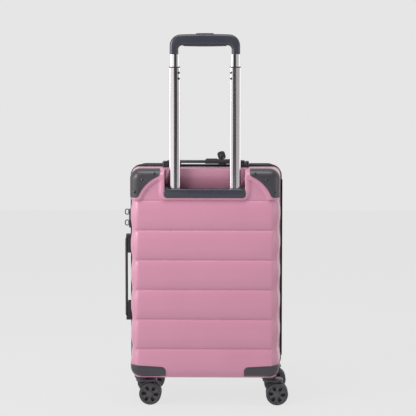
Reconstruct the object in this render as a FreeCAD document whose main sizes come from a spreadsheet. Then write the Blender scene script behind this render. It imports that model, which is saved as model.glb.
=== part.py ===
import FreeCAD, Part
import math
import os
import re

import Sketcher
from FreeCAD import Placement, Rotation, Vector

# A cabin-size hard shell suitcase: two ribbed shells that open like a book, a two-stage pull
# handle in a recess of the rear shell, carry handles on top and side, and four twin casters.
# +Z is up, +X is the hinge side, -Y is the rear face with the pull handle, and the origin is
# on the floor under the middle of the case.

# Driving dimensions in millimetres: name, value, what it sizes.
DRIVING = (
    ("rim_half", 175, "half width of the dark rim round each shell's open edge"),
    ("rim_low", 62.5, "height of the rim's underside"),
    ("rim_top", 539.5, "height of the rim's top"),
    ("rim_corner", 26, "corner radius of the rim"),
    ("rim_band", 8, "width of the rim across its face"),
    ("rim_depth", 7, "rim from the split to the shell's edge"),
    ("split", 19, "the zip's plane, in front of the middle plane"),
    ("half_gap", 0.2, "from the split to each row of teeth"),
    ("teeth_depth", 1.3, "depth of a row of teeth"),
    ("face_depth", 112.5, "from the middle plane to the face of a shell"),
    ("face_half", 164, "half width of a shell at its face"),
    ("face_low", 68, "underside of a shell at its face"),
    ("face_corner", 21, "corner radius at the face"),
    ("face_round", 18, "rounding between the face and the walls"),
    ("shell_half", 172, "half width of a shell at its open edge"),
    ("shell_low", 66, "underside of a shell at its open edge"),
    ("shell_top", 535, "top wall of a shell"),
    ("shell_corner", 24, "corner radius at the open edge"),
    ("wall", 3, "thickness of the shell"),
    ("groove_first", 133, "height of the lowest groove between two ribs"),
    ("groove_pitch", 67, "spacing of the grooves"),
    ("groove_width", 6, "width of a groove"),
    ("groove_deep", 1.2, "depth of a groove"),
    ("groove_end", 4, "how far behind the middle plane a groove fades out"),
    ("trim", 2.5, "thickness of guards and housings over the shell"),
    ("notch_half", 89.7, "half width of the pull handle's recess"),
    ("notch_floor", 475, "floor of the recess"),
    ("notch_back", 73, "from the middle plane to the recess's back wall"),
    ("notch_corner", 7, "corner radius of the recess"),
    ("bay_inner", 88, "inner end of a wheel bay"),
    ("bay_top", 80, "roof of a wheel bay"),
    ("bay_back", 43, "from the middle plane to the bay's inner wall"),
    ("guard_arm", 100.4, "end of a guard's arm along the top"),
    ("guard_arm_low", 522, "underside of that arm's end"),
    ("guard_leg", 149, "inner side of a guard's leg at its foot"),
    ("guard_foot", 473, "foot of a guard's leg"),
    ("guard_curve", 83, "radius of a guard's inner edge"),
    ("guard_wrap", 22, "how far a guard wraps onto the walls"),
    ("housing_top_in", 91, "top of a wheel housing at its inner end"),
    ("housing_top_out", 97, "top of a wheel housing at its outer end"),
    ("housing_round", 10, "rounding of the housing's inner end"),
    ("screw_radius", 3, "head of a guard screw"),
    ("screw_proud", 0.5, "head of a guard screw over its guard"),
    ("tube_across", 67.5, "middle of a handle tube from the centre line"),
    ("tube_back", 92, "middle of the handle tubes behind the middle plane"),
    ("outer_half", 14.5, "half width of a fixed tube"),
    ("outer_deep", 9.5, "half depth of a fixed tube"),
    ("middle_half", 12, "half width of a middle tube"),
    ("middle_deep", 7, "half depth of a middle tube"),
    ("inner_half", 9.25, "half width of an inner tube"),
    ("inner_deep", 4.25, "half depth of an inner tube"),
    ("slip", 0.35, "clearance round a sliding tube"),
    ("outer_corner", 6, "corner radius of a fixed tube"),
    ("middle_corner", 5, "corner radius of a middle tube"),
    ("inner_corner", 3.5, "corner radius of an inner tube"),
    ("tube_wall", 1.2, "wall of an inner tube"),
    ("collar", 0.8, "how far a collar stands out from its middle tube"),
    ("collar_high", 3, "height of a collar"),
    ("outer_low", 78, "lower end of the fixed tubes"),
    ("middle_low", 383, "lower end of the middle tubes, drawn out"),
    ("middle_top", 761, "upper end of the middle tubes, drawn out"),
    ("inner_low", 421, "lower end of the inner tubes, as they stand"),
    ("grip_low", 791, "underside of the grip's legs"),
    ("grip_under", 810, "underside of the grip's bar"),
    ("grip_top", 836, "top of the grip"),
    ("grip_half", 78.25, "half width of the grip"),
    ("grip_leg", 19, "width of a grip leg"),
    ("grip_deep", 12, "half depth of the grip"),
    ("grip_corner", 22, "outer corner radius of the grip"),
    ("grip_inside", 8, "inner corner radius of the grip"),
    ("grip_edge", 6, "rounding along the grip's edges"),
    ("pad_half", 48, "half length of the soft pad under the grip"),
    ("pad_deep", 8, "half width of that pad"),
    ("pad_curve", 480, "radius of that pad's underside"),
    ("button_half", 19.5, "half length of the release button"),
    ("button_deep", 5.5, "half width of the release button"),
    ("button_proud", 1.5, "top of the release button over the grip"),
    ("button_gap", 0.3, "gap round the release button"),
    ("tray_top", 490.5, "top of the tray in the recess"),
    ("tray_end", 496, "top of the tray's raised ends"),
    ("tray_lip", 7, "length of a raised end"),
    ("tray_ramp", 4, "length of the slope up to a raised end"),
    ("tray_screw", 86, "tray screw from the centre line"),
    ("tray_screw_radius", 2.5, "head of a tray screw"),
    ("carry_half", 99, "half length of a carry handle with its brackets"),
    ("carry_gap", 57, "half length of the free part of its strap"),
    ("carry_wide", 14, "half width of the strap"),
    ("carry_seat", 9.6, "underside of the strap above the wall"),
    ("carry_thick", 5.5, "thickness of the strap"),
    ("carry_back", 9, "middle of both carry handles behind the middle plane"),
    ("carry_rail", 2, "how far a bracket is wider than the strap on each side"),
    ("carry_hood", 3.8, "raised end of a bracket over the strap's underside"),
    ("leg_near", 62, "near end of a strap's guide leg from its middle"),
    ("leg_far", 87, "far end of that leg"),
    ("leg_low", 1.4, "foot of that leg above the wall"),
    ("leg_inset", 3.4, "how much narrower that leg is than the strap on each side"),
    ("side_centre", 281, "height of the side handle's middle"),
    ("lock_centre", 416, "height of the lock's middle"),
    ("puller_rise", 12.7, "from the lock's middle to a zip slider's middle"),
    ("lock_proud", 4.6, "face of the lock over the wall"),
    ("lock_half", 21, "half height of the lock"),
    ("dial_radius", 6, "radius of a lock dial"),
    ("dial_thick", 3.6, "thickness of a lock dial"),
    ("dial_deep", 1.2, "axis of the dials behind the wall's outside"),
    ("dial_back", 2.5, "axis of the dials behind the middle plane"),
    ("swivel_across", 143.7, "caster swivel from the centre line"),
    ("swivel_back", 77, "caster swivel from the middle plane"),
    ("swivel_pin", 4, "radius of the swivel pin"),
    ("boss_low", 61.5, "underside of the swivel boss"),
    ("boss_radius", 17, "radius of the swivel boss"),
    ("bore_deep", 16.5, "depth of the swivel pin's bore"),
    ("hood_low", 52.5, "underside of a fork's hood"),
    ("hood_top", 58.5, "top of a fork's hood"),
    ("turntable", 15, "radius of the ring between a hood and its boss"),
    ("stem_play", 0.7, "gap between a fork's stem and each wheel"),
    ("trail", 19.2, "wheel centre behind the swivel"),
    ("wheel_radius", 25, "radius of a wheel"),
    ("tyre_inside", 20.8, "inner radius of the tyre"),
    ("wheel_inner", 5.5, "inner side of a wheel from the caster's middle"),
    ("wheel_outer", 18, "outer side of a wheel from the caster's middle"),
    ("axle_radius", 3, "radius of the axle"),
    ("fit", 0.05, "radial running clearance of a pin in its bore"),
    ("band_wide", 26, "width of a packing strap"),
    ("band_thick", 1.6, "thickness of a packing strap"),
    ("band_long", 340, "length of a packing strap"),
    ("band_drop", 25, "crossing of the packing straps below the middle of the case"),
    ("buckle_half", 30, "half width of the buckle"),
    ("buckle_rise", 20, "half height of the buckle"),
    ("lining_gap", 3.5, "from the outside of a shell to its lining"),
    ("lining_thick", 1.2, "thickness of the lining"),
    ("lining_back", 80, "back panel of the rear lining behind the middle plane"),
)
NAMES = {name for name, size, note in DRIVING}

doc = FreeCAD.newDocument("Suitcase")
sheet = doc.addObject("Spreadsheet::Sheet", "Dims")
for row, (name, size, note) in enumerate(DRIVING, start=1):
    sheet.set(f"A{row}", name)
    sheet.set(f"B{row}", str(size))
    sheet.setAlias(f"B{row}", name)
    sheet.set(f"C{row}", note)
doc.recompute()

nodes = []


# ---- helpers: every size is a text in the sheet's names ---------------------------------------

def bound(text):
    """The same text with each driving dimension pointed at its cell."""
    return re.sub(r"[a-z_]+", lambda w: f"Dims.{w[0]}" if w[0] in NAMES else w[0], str(text))


def value(text):
    """What such a text comes to with the sheet's present numbers."""
    return float(sheet.evalExpression(bound(text)))


def minus(text):
    return f"-({text})"


def keep(part, label):
    """Name a finished sub-part and put it on the list that is written out."""
    part.Label = label
    nodes.append(part)
    return part


def place(part, x=0, y=0, z=0, turn=None):
    """Set a part's turn, then bind its position to the sheet."""
    if turn:
        part.Placement = Placement(Vector(), turn)
    for axis, text in (("x", x), ("y", y), ("z", z)):
        part.setExpression(f"Placement.Base.{axis}", bound(text))
    return part


def box(x, y, z):
    """A block between pairs of bounds along X, Y and Z."""
    part = doc.addObject("Part::Box", "Box")
    for size, (low, high) in (("Length", x), ("Width", y), ("Height", z)):
        part.setExpression(size, bound(f"({high}) - ({low})"))
    return place(part, x[0], y[0], z[0])


def cylinder(radius, length, axis, x, y, z):
    """A round bar of that length from a start point along an axis."""
    part = doc.addObject("Part::Cylinder", "Cylinder")
    part.setExpression("Radius", bound(radius))
    part.setExpression("Height", bound(length))
    return place(part, x, y, z, Rotation(Vector(0, 0, 1), Vector(*axis)))


def cut(base, *tools):
    part = doc.addObject("Part::Cut", "Cut")
    part.Base = base
    part.Tool = tools[0] if len(tools) == 1 else fuse(*tools)
    return part


def fuse(*parts):
    part = doc.addObject("Part::MultiFuse", "Fuse")
    part.Shapes = list(parts)
    return part


def common(*parts):
    part = doc.addObject("Part::MultiCommon", "Common")
    part.Shapes = list(parts)
    return part


def group(*parts):
    part = doc.addObject("Part::Compound", "Group")
    part.Links = list(parts)
    return part


def mirror(source, normal):
    part = doc.addObject("Part::Mirroring", "Mirror")
    part.Source = source
    part.Normal = Vector(*normal)
    return part


def new_body():
    return doc.addObject("PartDesign::Body", "Body")


def new_sketch(body, plane, offset=0):
    """A sketch on one of the body's own origin planes, moved along that plane's normal."""
    sketch = body.newObject("Sketcher::SketchObject", "Sketch")
    origin = [f for f in body.Origin.OriginFeatures if f.Role == plane]
    sketch.AttachmentSupport = [(origin[0], "")]
    sketch.MapMode = "FlatFace"
    sketch.setExpression("AttachmentOffset.Base.z", bound(offset))
    return sketch


def pin(sketch, item, end, across, up):
    """Hold one point of a sketch at a place that the sheet gives."""
    for kind, text in (("DistanceX", across), ("DistanceY", up)):
        number = sketch.addConstraint(Sketcher.Constraint(kind, -1, 1, item, end, value(text)))
        sketch.setExpression(f"Constraints[{number}]", bound(text))


def size_radius(sketch, item, radius):
    number = sketch.addConstraint(Sketcher.Constraint("Radius", item, value(radius)))
    sketch.setExpression(f"Constraints[{number}]", bound(radius))


def draw_circle(sketch, across, up, radius):
    centre = Vector(value(across), value(up), 0)
    item = sketch.addGeometry(Part.Circle(centre, Vector(0, 0, 1), value(radius)))
    pin(sketch, item, 3, across, up)
    size_radius(sketch, item, radius)


def draw_outline(sketch, corners, arcs=None):
    """A closed outline; arcs maps a side's number to a radius, positive when the arc bulges
    to the right of the way the outline runs."""
    arcs = arcs or {}
    points = [Vector(value(across), value(up), 0) for across, up in corners]
    ends = []
    for i, start in enumerate(points):
        finish = points[(i + 1) % len(points)]
        if i not in arcs:
            item = sketch.addGeometry(Part.LineSegment(start, finish))
            ends.append((item, 1, 2))
            continue
        radius, bulge_right = arcs[i]
        chord = finish - start
        rise = math.sqrt(value(radius) ** 2 - (chord.Length / 2) ** 2)
        left = Vector(-chord.y, chord.x, 0).normalize()
        centre = (start + finish) * 0.5 + left * (rise if bulge_right else -rise)
        circle = Part.Circle(centre, Vector(0, 0, 1), value(radius))
        first, last = (start, finish) if bulge_right else (finish, start)
        angles = [math.atan2(p.y - centre.y, p.x - centre.x) for p in (first, last)]
        item = sketch.addGeometry(Part.ArcOfCircle(circle, *angles))
        size_radius(sketch, item, radius)
        ends.append((item, 1, 2) if bulge_right else (item, 2, 1))
    for i, (item, first, last) in enumerate(ends):
        following, start, _ = ends[(i + 1) % len(ends)]
        sketch.addConstraint(Sketcher.Constraint("Coincident", item, last, following, start))
        pin(sketch, item, first, *corners[i])


def draw_rounded(sketch, left, right, low, high, radius):
    """A rectangle with four equal round corners."""
    inner_left, inner_right = f"{left} + {radius}", f"{right} - ({radius})"
    inner_low, inner_high = f"{low} + {radius}", f"{high} - ({radius})"
    corners = (
        (inner_left, low), (inner_right, low), (right, inner_low), (right, inner_high),
        (inner_right, high), (inner_left, high), (left, inner_high), (left, inner_low),
    )
    draw_outline(sketch, corners, {side: (radius, True) for side in (1, 3, 5, 7)})


def add_pad(body, sketch, length, reverse=False):
    pad = body.newObject("PartDesign::Pad", "Pad")
    pad.Profile = sketch
    pad.setExpression("Length", bound(length))
    pad.Reversed = reverse
    return pad


def add_pocket(body, sketch, length, reverse=False):
    """A pocket, checked to have taken something away."""
    doc.recompute()
    before = body.Shape.Volume
    pocket = body.newObject("PartDesign::Pocket", "Pocket")
    pocket.Profile = sketch
    pocket.setExpression("Length", bound(length))
    pocket.Reversed = reverse
    doc.recompute()
    if body.Shape.Volume > before - 0.01:
        raise ValueError(f"a pocket in {body.Label} cuts nothing")
    return pocket


def add_fillet(body, radius, chosen):
    """Round the edges of the body's shape that the test picks."""
    doc.recompute()
    feature = body.Tip
    names = [f"Edge{i}" for i, edge in enumerate(feature.Shape.Edges, start=1) if chosen(edge)]
    if not names:
        raise ValueError(f"no edge to round in {body.Label}")
    fillet = body.newObject("PartDesign::Fillet", "Fillet")
    fillet.Base = (feature, names)
    fillet.setExpression("Radius", bound(radius))
    doc.recompute()
    return fillet


def near(a, b):
    return abs(a - b) < 0.01


def flat_at(axis, place_text):
    """A test for edges that lie wholly in the plane at that place on an axis."""
    level = value(place_text)

    def chosen(edge):
        bounds = edge.BoundBox
        low = getattr(bounds, f"{axis}Min")
        high = getattr(bounds, f"{axis}Max")
        return near(low, level) and near(high, level)
    return chosen


def slab(outline, low, high):
    """A body padded along Z between two heights from an outline that is drawn on it."""
    body = new_body()
    sketch = new_sketch(body, "XY_Plane", low)
    outline(sketch)
    add_pad(body, sketch, f"({high}) - ({low})")
    return body


def sideways(outline, rear, front):
    """A body padded along Y between two depths from an outline in X and Z."""
    body = new_body()
    sketch = new_sketch(body, "XZ_Plane", minus(rear))
    outline(sketch)
    add_pad(body, sketch, f"({front}) - ({rear})", reverse=True)
    return body


# ---- shells -----------------------------------------------------------------------------------

def open_edge(side):
    return f"split + ({side}) * rim_depth"


def shell_form(side, inset, face=None, rounding=None):
    """The solid outer form of one shell, drawn in by an inset, from its face to its open edge."""
    face = face or f"({side}) * (face_depth - ({inset}))"
    share = f"((({side}) * face_depth - ({face})) / (({side}) * face_depth - ({open_edge(side)})))"
    half = f"face_half + (shell_half - face_half) * {share} - ({inset})"
    body = new_body()
    narrow = new_sketch(body, "XZ_Plane", minus(face))
    draw_rounded(narrow, minus(half), half, f"face_low + ({inset})", f"shell_top - ({inset})",
                 f"(face_corner - ({inset}))")
    wide = new_sketch(body, "XZ_Plane", minus(open_edge(side)))
    draw_rounded(wide, f"-shell_half + ({inset})", f"shell_half - ({inset})",
                 f"shell_low + ({inset})", f"shell_top - ({inset})",
                 f"(shell_corner - ({inset}))")
    loft = body.newObject("PartDesign::AdditiveLoft", "Loft")
    loft.Profile, loft.Sections = (wide, [narrow]) if side < 0 else (narrow, [wide])
    loft.Ruled = True
    add_fillet(body, rounding or f"face_round - ({inset})", flat_at("Y", face))
    return body


def notch_form(grow):
    """The pull handle's recess, open at the top and the rear."""
    half = f"(notch_half + {grow})"
    corner = f"(notch_corner + {grow})"
    back = f"-(notch_back - {grow})"
    body = sideways(
        lambda sketch: draw_rounded(sketch, minus(half), half, f"notch_floor - {grow}",
                                    "shell_top + 30", corner),
        "-(face_depth + 10)", back)
    add_fillet(body, f"{corner} - 1", flat_at("Y", back))
    return body


def bay_forms(side, grow):
    """The two wheel bays at the foot of a shell."""
    inner, roof = f"bay_inner - {grow}", f"bay_top + {grow}"
    near_wall, far_wall = f"bay_back - {grow}", "face_depth + 10"
    depth = (near_wall, far_wall) if side > 0 else (minus(far_wall), minus(near_wall))
    return [
        box((inner, "shell_half + 10"), depth, ("shell_low - 20", roof)),
        box(("-(shell_half + 10)", minus(inner)), depth, ("shell_low - 20", roof)),
    ]


def shell_solid(side, inset, face=None, rounding=None):
    """A shell's form less its recess and wheel bays, all drawn in by the same inset."""
    hollows = bay_forms(side, inset)
    if side < 0:
        hollows.append(notch_form(inset))
    return cut(shell_form(side, inset, face, rounding), *hollows)


def groove_bands(side):
    """The grooves that part the ribs, as bands that leave all but the shell's skin."""
    depth = ("groove_end + split", "face_depth + 10")
    depth = depth if side > 0 else ("-(face_depth + 10)", "-groove_end")
    bands = []
    for i in range(6):
        level = f"groove_first + {i} * groove_pitch"
        bands.append(box(("-(shell_half + 10)", "shell_half + 10"), depth,
                         (f"{level} - groove_width / 2", f"{level} + groove_width / 2")))
    return cut(fuse(*bands), shell_form(side, "groove_deep"))


def outer_tube_form(side):
    """The space that a fixed handle tube takes up, from its foot to the recess's floor."""
    x = f"{side} * tube_across"
    return slab(lambda sketch: draw_rounded(sketch, f"{x} - outer_half", f"{x} + outer_half",
                                            "-tube_back - outer_deep", "-tube_back + outer_deep",
                                            "outer_corner"), "outer_low", "notch_floor")


def lock_seat():
    """The lock's block through the left wall, wider than the wall on both sides."""
    return box(("-(shell_half + lock_proud)", "-(shell_half - 7.5)"), (-15, 10),
               ("lock_centre - lock_half", "lock_centre + lock_half"))


rear_solid = shell_solid(-1, "0")
rear_hollow = shell_solid(-1, "wall")
front_solid = shell_solid(1, "0")
tubes_form = fuse(outer_tube_form(-1), outer_tube_form(1))

keep(cut(rear_solid, rear_hollow, groove_bands(-1), tubes_form, lock_seat()), "rear_shell")
keep(cut(front_solid, shell_solid(1, "wall"), groove_bands(1)), "front_shell")


def lining(side, face=None):
    """A fabric skin just inside a shell."""
    outer, inner = "lining_gap", "lining_gap + lining_thick"
    if not face:
        return cut(shell_solid(side, outer), shell_solid(side, inner))
    inner_face = f"{face} + lining_thick"
    return cut(shell_solid(side, outer, face, "9"), shell_solid(side, inner, inner_face, "8"))


keep(cut(lining(-1, "-lining_back"), lock_seat()), "rear_lining")
keep(lining(1), "front_lining")


def ring(outer, band, rear, front):
    """A rim-shaped ring, drawn in from the rim's outline by a gap and of one width."""
    def outline(sketch):
        for inset in (outer, f"({outer}) + ({band})"):
            draw_rounded(sketch, f"-rim_half + ({inset})", f"rim_half - ({inset})",
                         f"rim_low + ({inset})", f"rim_top - ({inset})",
                         f"(rim_corner - ({inset}))")
    return sideways(outline, rear, front)


keep(ring("0", "rim_band", "split - rim_depth", "split - half_gap - teeth_depth"), "rear_rim")
keep(ring("0", "rim_band", "split + half_gap + teeth_depth", "split + rim_depth"), "front_rim")
keep(ring("1", "3.5", "split - half_gap - teeth_depth", "split - half_gap"), "rear_zip_teeth")
keep(ring("1", "3.5", "split + half_gap", "split + half_gap + teeth_depth"), "front_zip_teeth")
keep(box(("rim_half + 0.2", "rim_half + 1.6"), ("split - 12", "split + 12"), (95, 505)),
     "hinge_strip")


# ---- corner guards, wheel housings and their screws -------------------------------------------

def face_span(side, depth):
    """The span along Y from beyond a shell's face to that far in from the trim's face."""
    inner = f"face_depth + trim - ({depth})"
    outer = "face_depth + 20"
    return (inner, outer) if side > 0 else (minus(outer), minus(inner))


def guard_outline(sketch):
    corners = (
        ("guard_arm", "guard_arm_low"), ("guard_leg", "guard_foot"),
        ("shell_half + 20", "guard_foot"), ("shell_half + 20", "shell_top + 20"),
        ("guard_arm", "shell_top + 20"),
    )
    draw_outline(sketch, corners, {0: ("guard_curve", False)})


def housing_outline(sketch):
    draw_outline(sketch, (
        ("bay_inner", 40), ("shell_half + 20", 40),
        ("shell_half + 20", "housing_top_out"), ("bay_inner", "housing_top_in"),
    ))


# X and Z of the three screws in a right-hand guard: its arm, its bend and its leg.
SCREW_PLACES = ((112.5, 527), (138.5, 512.5), (156, 485))


def guard_screws(side):
    """Three screws in each of a shell's two guards."""
    screws = []
    for x, z in SCREW_PLACES:
        for hand in (-1, 1):
            screws.append(cylinder("screw_radius", "trim + screw_proud", (0, side, 0),
                                   hand * x, f"{side} * face_depth", z))
    return screws


def swivel_x(hand):
    return f"{hand} * swivel_across"


def swivel_y(side):
    return f"{side} * swivel_back"


def trim_pieces(side, solid, end):
    """Guards, screws and wheel housings of one shell."""
    grown = shell_form(side, "-trim")
    screws = group(*guard_screws(side))
    blank = common(grown, sideways(guard_outline, *face_span(side, "guard_wrap")))
    prism = sideways(housing_outline, *face_span(side, "face_depth + trim - bay_back"))
    add_fillet(prism, "housing_round",
               lambda edge: near(edge.CenterOfMass.x, value("bay_inner"))
               and near(edge.CenterOfMass.z, value("housing_top_in")))
    shoe = common(grown, prism)
    for hand, name in ((-1, "left"), (1, "right")):
        guard = blank if hand > 0 else mirror(blank, (1, 0, 0))
        keep(cut(guard, solid, screws), f"corner_guard_{end}_{name}")
        housing = shoe if hand > 0 else mirror(shoe, (1, 0, 0))
        x, y = swivel_x(hand), swivel_y(side)
        boss = cylinder("boss_radius", "bay_top - boss_low", (0, 0, 1), x, y, "boss_low")
        bore = cylinder("swivel_pin + fit", "bore_deep", (0, 0, 1), x, y, "boss_low")
        keep(cut(fuse(cut(housing, solid), boss), bore), f"wheel_housing_{end}_{name}")
    return screws


rear_screws = trim_pieces(-1, rear_solid, "rear")
keep(trim_pieces(1, front_solid, "front"), "guard_screws_front")


# ---- pull handle ------------------------------------------------------------------------------

def tube_section(sketch, side, half, deep, corner):
    x = f"{side} * tube_across"
    draw_rounded(sketch, f"{x} - ({half})", f"{x} + ({half})", f"-tube_back - ({deep})",
                 f"-tube_back + ({deep})", corner)


def handle_tube(side, half, deep, bore_half, bore_deep, corner, low, high):
    """A hollow tube of rounded section, left or right of the centre line."""
    def outline(sketch):
        tube_section(sketch, side, half, deep, corner)
        tube_section(sketch, side, bore_half, bore_deep, f"({corner}) - 1.5")
    return slab(outline, low, high)


for side, name in ((-1, "left"), (1, "right")):
    keep(handle_tube(side, "outer_half", "outer_deep", "middle_half + slip", "middle_deep + slip",
                     "outer_corner", "outer_low", "notch_floor"), f"outer_tube_{name}")
    keep(handle_tube(side, "middle_half", "middle_deep", "inner_half + slip", "inner_deep + slip",
                     "middle_corner", "middle_low", "middle_top"), f"middle_tube_{name}")
    keep(handle_tube(side, "inner_half", "inner_deep", "inner_half - tube_wall",
                     "inner_deep - tube_wall", "inner_corner", "inner_low", "grip_low"),
         f"inner_tube_{name}")

keep(fuse(*[
    handle_tube(side, "middle_half + collar", "middle_deep + collar", "inner_half + slip",
                "inner_deep + slip", "middle_corner + 0.5", "middle_top",
                "middle_top + collar_high") for side in (-1, 1)
]), "middle_collars")

foot_block = box(("-(bay_inner - wall - 0.1)", "bay_inner - wall - 0.1"),
                 ("-(tube_back + 11)", "-(lining_back + 0.4)"), (60, 95))
keep(cut(common(rear_hollow, foot_block), tubes_form), "tube_foot_bracket")


def tray_outline(sketch):
    draw_outline(sketch, (
        ("-notch_half", "notch_floor"), ("notch_half", "notch_floor"),
        ("notch_half", "tray_end"), ("notch_half - tray_lip", "tray_end"),
        ("notch_half - tray_lip - tray_ramp", "tray_top"),
        ("-notch_half + tray_lip + tray_ramp", "tray_top"),
        ("-notch_half + tray_lip", "tray_end"), ("-notch_half", "tray_end"),
    ))


tray_holes = []
for side in (-1, 1):
    tray_holes.append(slab(
        lambda sketch: tube_section(sketch, side, "middle_half + slip", "middle_deep + slip",
                                    "middle_corner"),
        "notch_floor - 1", "tray_end + 1"))
tray_screws = [
    cylinder("tray_screw_radius", 4.2, (0, 0, 1), x, "-tube_back", "tray_end - 3.2")
    for x in ("-tray_screw", "tray_screw")
]
tray_block = sideways(tray_outline, "-(face_depth - 0.5)", "-notch_back")
keep(cut(common(tray_block, notch_form("0")), *tray_holes, *tray_screws), "handle_tray")
keep(group(rear_screws, *tray_screws), "rear_screws")


def grip_outline(sketch):
    inner = "grip_half - grip_leg"
    corners = (
        ("-grip_half", "grip_low"), (f"-({inner})", "grip_low"),
        (f"-({inner})", "grip_under - grip_inside"), (f"-({inner}) + grip_inside", "grip_under"),
        (f"{inner} - grip_inside", "grip_under"), (inner, "grip_under - grip_inside"),
        (inner, "grip_low"), ("grip_half", "grip_low"),
        ("grip_half", "grip_top - grip_corner"), ("grip_half - grip_corner", "grip_top"),
        ("-grip_half + grip_corner", "grip_top"), ("-grip_half", "grip_top - grip_corner"),
    )
    arcs = {2: ("grip_inside", False), 4: ("grip_inside", False),
            8: ("grip_corner", True), 10: ("grip_corner", True)}
    draw_outline(sketch, corners, arcs)


grip_rear, grip_front = "-tube_back - grip_deep", "-tube_back + grip_deep"
grip = sideways(grip_outline, grip_rear, grip_front)
add_fillet(grip, "grip_edge", lambda edge: (flat_at("Y", grip_rear)(edge)
                                    or flat_at("Y", grip_front)(edge))
           and not near(edge.BoundBox.ZMax, value("grip_low")))
well = new_sketch(grip, "XY_Plane", "grip_top + 5")
draw_rounded(well, "-button_half - button_gap", "button_half + button_gap",
             "-tube_back - button_deep - button_gap", "-tube_back + button_deep + button_gap",
             "3 + button_gap")
add_pocket(grip, well, 19.5)
keep(grip, "grip_shell")


def underside_outline(sketch):
    corners = (("pad_half", "grip_under"), ("-pad_half", "grip_under"),
               ("-pad_half", "grip_under - 0.2"), ("pad_half", "grip_under - 0.2"))
    draw_outline(sketch, corners, {2: ("pad_curve", True)})


keep(sideways(underside_outline, "-tube_back - pad_deep", "-tube_back + pad_deep"),
     "grip_underside")

button = slab(
    lambda sketch: draw_rounded(sketch, "-button_half", "button_half", "-tube_back - button_deep",
                                "-tube_back + button_deep", "3"),
    "grip_top - 10", "grip_top + button_proud")
add_fillet(button, 1, flat_at("Z", "grip_top + button_proud"))
keep(button, "release_button")


# ---- carry handles: drawn along X on a wall at z = 0, then set on the top and the left wall -----

def bracket_blank(hand):
    """One end bracket: a cradle with two rails and a raised end."""
    inner, outer = "carry_gap", "carry_half"
    span = (inner, outer) if hand > 0 else (minus(outer), minus(inner))
    slot = ("carry_gap - 1", "carry_half - 9")
    slot = slot if hand > 0 else (minus(slot[1]), minus(slot[0]))
    block = slab(lambda sketch: draw_rounded(sketch, span[0], span[1], "-carry_wide - carry_rail",
                                             "carry_wide + carry_rail", 5),
                 -3, "carry_seat + carry_hood")
    rail_cut = box(slot, ("-carry_wide - 3", "carry_wide + 3"), ("carry_seat - 0.3", 30))
    slot_cut = box(slot, ("-carry_wide + 3", "carry_wide - 3"), (1, 30))
    return cut(block, rail_cut, slot_cut)


def carry_strap():
    """The strap with a guide leg at each end that rides in its bracket."""
    reach = "carry_half - 9.6"
    band = slab(lambda sketch: draw_rounded(sketch, minus(reach), reach, "-carry_wide",
                                            "carry_wide", 6), "carry_seat",
                "carry_seat + carry_thick")
    add_fillet(band, 1.5, flat_at("Z", "carry_seat + carry_thick"))
    legs = [
        box((low, high), ("-carry_wide + leg_inset", "carry_wide - leg_inset"),
            ("leg_low", "carry_seat"))
        for low, high in (("leg_near", "leg_far"), ("-leg_far", "-leg_near"))
    ]
    return fuse(band, *legs)


side_rise, side_run = value("shell_half - face_half"), value("face_depth + split - rim_depth")
draft = math.degrees(math.atan2(side_rise, side_run))
side_turn = Rotation(Vector(0, 0, 1), draft) * Rotation(Vector(0, 1, 0), -90)
side_half = ("face_half + (shell_half - face_half) * (face_depth - carry_back)"
             " / (face_depth + split - rim_depth)")


def on_top(part):
    return place(part, 0, "-carry_back", "shell_top")


def on_side(part):
    return place(part, minus(side_half), "-carry_back", "side_centre", side_turn)


keep(cut(on_top(fuse(bracket_blank(-1), bracket_blank(1))), rear_solid), "top_handle_brackets")
keep(cut(on_side(fuse(bracket_blank(-1), bracket_blank(1))), rear_solid), "side_handle_brackets")
top_strap = keep(on_top(carry_strap()), "top_handle_strap")
keep(on_side(carry_strap()), "side_handle_strap")


# ---- luggage tag on the top handle --------------------------------------------------------------

strap_low, strap_high = "shell_top + carry_seat", "shell_top + carry_seat + carry_thick"
sleeve = box((-1, 55), ("-carry_back - carry_wide - 1.6", "-carry_back + carry_wide + 1.6"),
             (f"{strap_low} - 1.6", f"{strap_high} + 2.4"))
plate = box((1, 27), ("-carry_back - 12", "-carry_back + 6"),
            (f"{strap_high} + 2.4", f"{strap_high} + 4.2"))
keep(cut(fuse(sleeve, plate), top_strap), "tag_loop")
tag_pivot = f"{strap_high} + 4.6"


def tab_outline(sketch):
    top = f"{tag_pivot} + 9.5"
    corners = ((30.5, tag_pivot), (45.5, tag_pivot), (45.5, f"{top} - 5"), (40.5, top),
               (35.5, top), (30.5, f"{top} - 5"))
    draw_outline(sketch, corners, {2: (5, True), 4: (5, True)})


stud = cylinder(2.6, 5, (0, 1, 0), 38, "-carry_back - 2.5", f"{tag_pivot} + 5")
tab = fuse(sideways(tab_outline, "-carry_back - 1.5", "-carry_back + 1.5"),
           cylinder(1.7, 15, (1, 0, 0), 30.5, "-carry_back", tag_pivot))
keep(group(cut(tab, stud), stud), "tag_strap")


# ---- zip sliders, their pullers and the lock ----------------------------------------------------

slide_face = "-(rim_half + 0.4)"
pull_pivot = "-(rim_half + 4.9)"


def zip_slider(level):
    """A slider outside the rim with a pin between two lugs."""
    base = box((f"{slide_face} - 2", slide_face), ("split - 5.5", "split + 5.5"),
               (f"{level} - 8", f"{level} + 8"))
    lugs = [
        box((f"{pull_pivot} - 1.6", f"{slide_face} - 2"), (low, high),
            (f"{level} - 2.5", f"{level} + 2.5"))
        for low, high in (("split - 3", "split - 1.5"), ("split + 1.5", "split + 3"))
    ]
    return fuse(base, *lugs, cylinder(0.8, 6, (0, 1, 0), pull_pivot, "split - 3", level))


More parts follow.
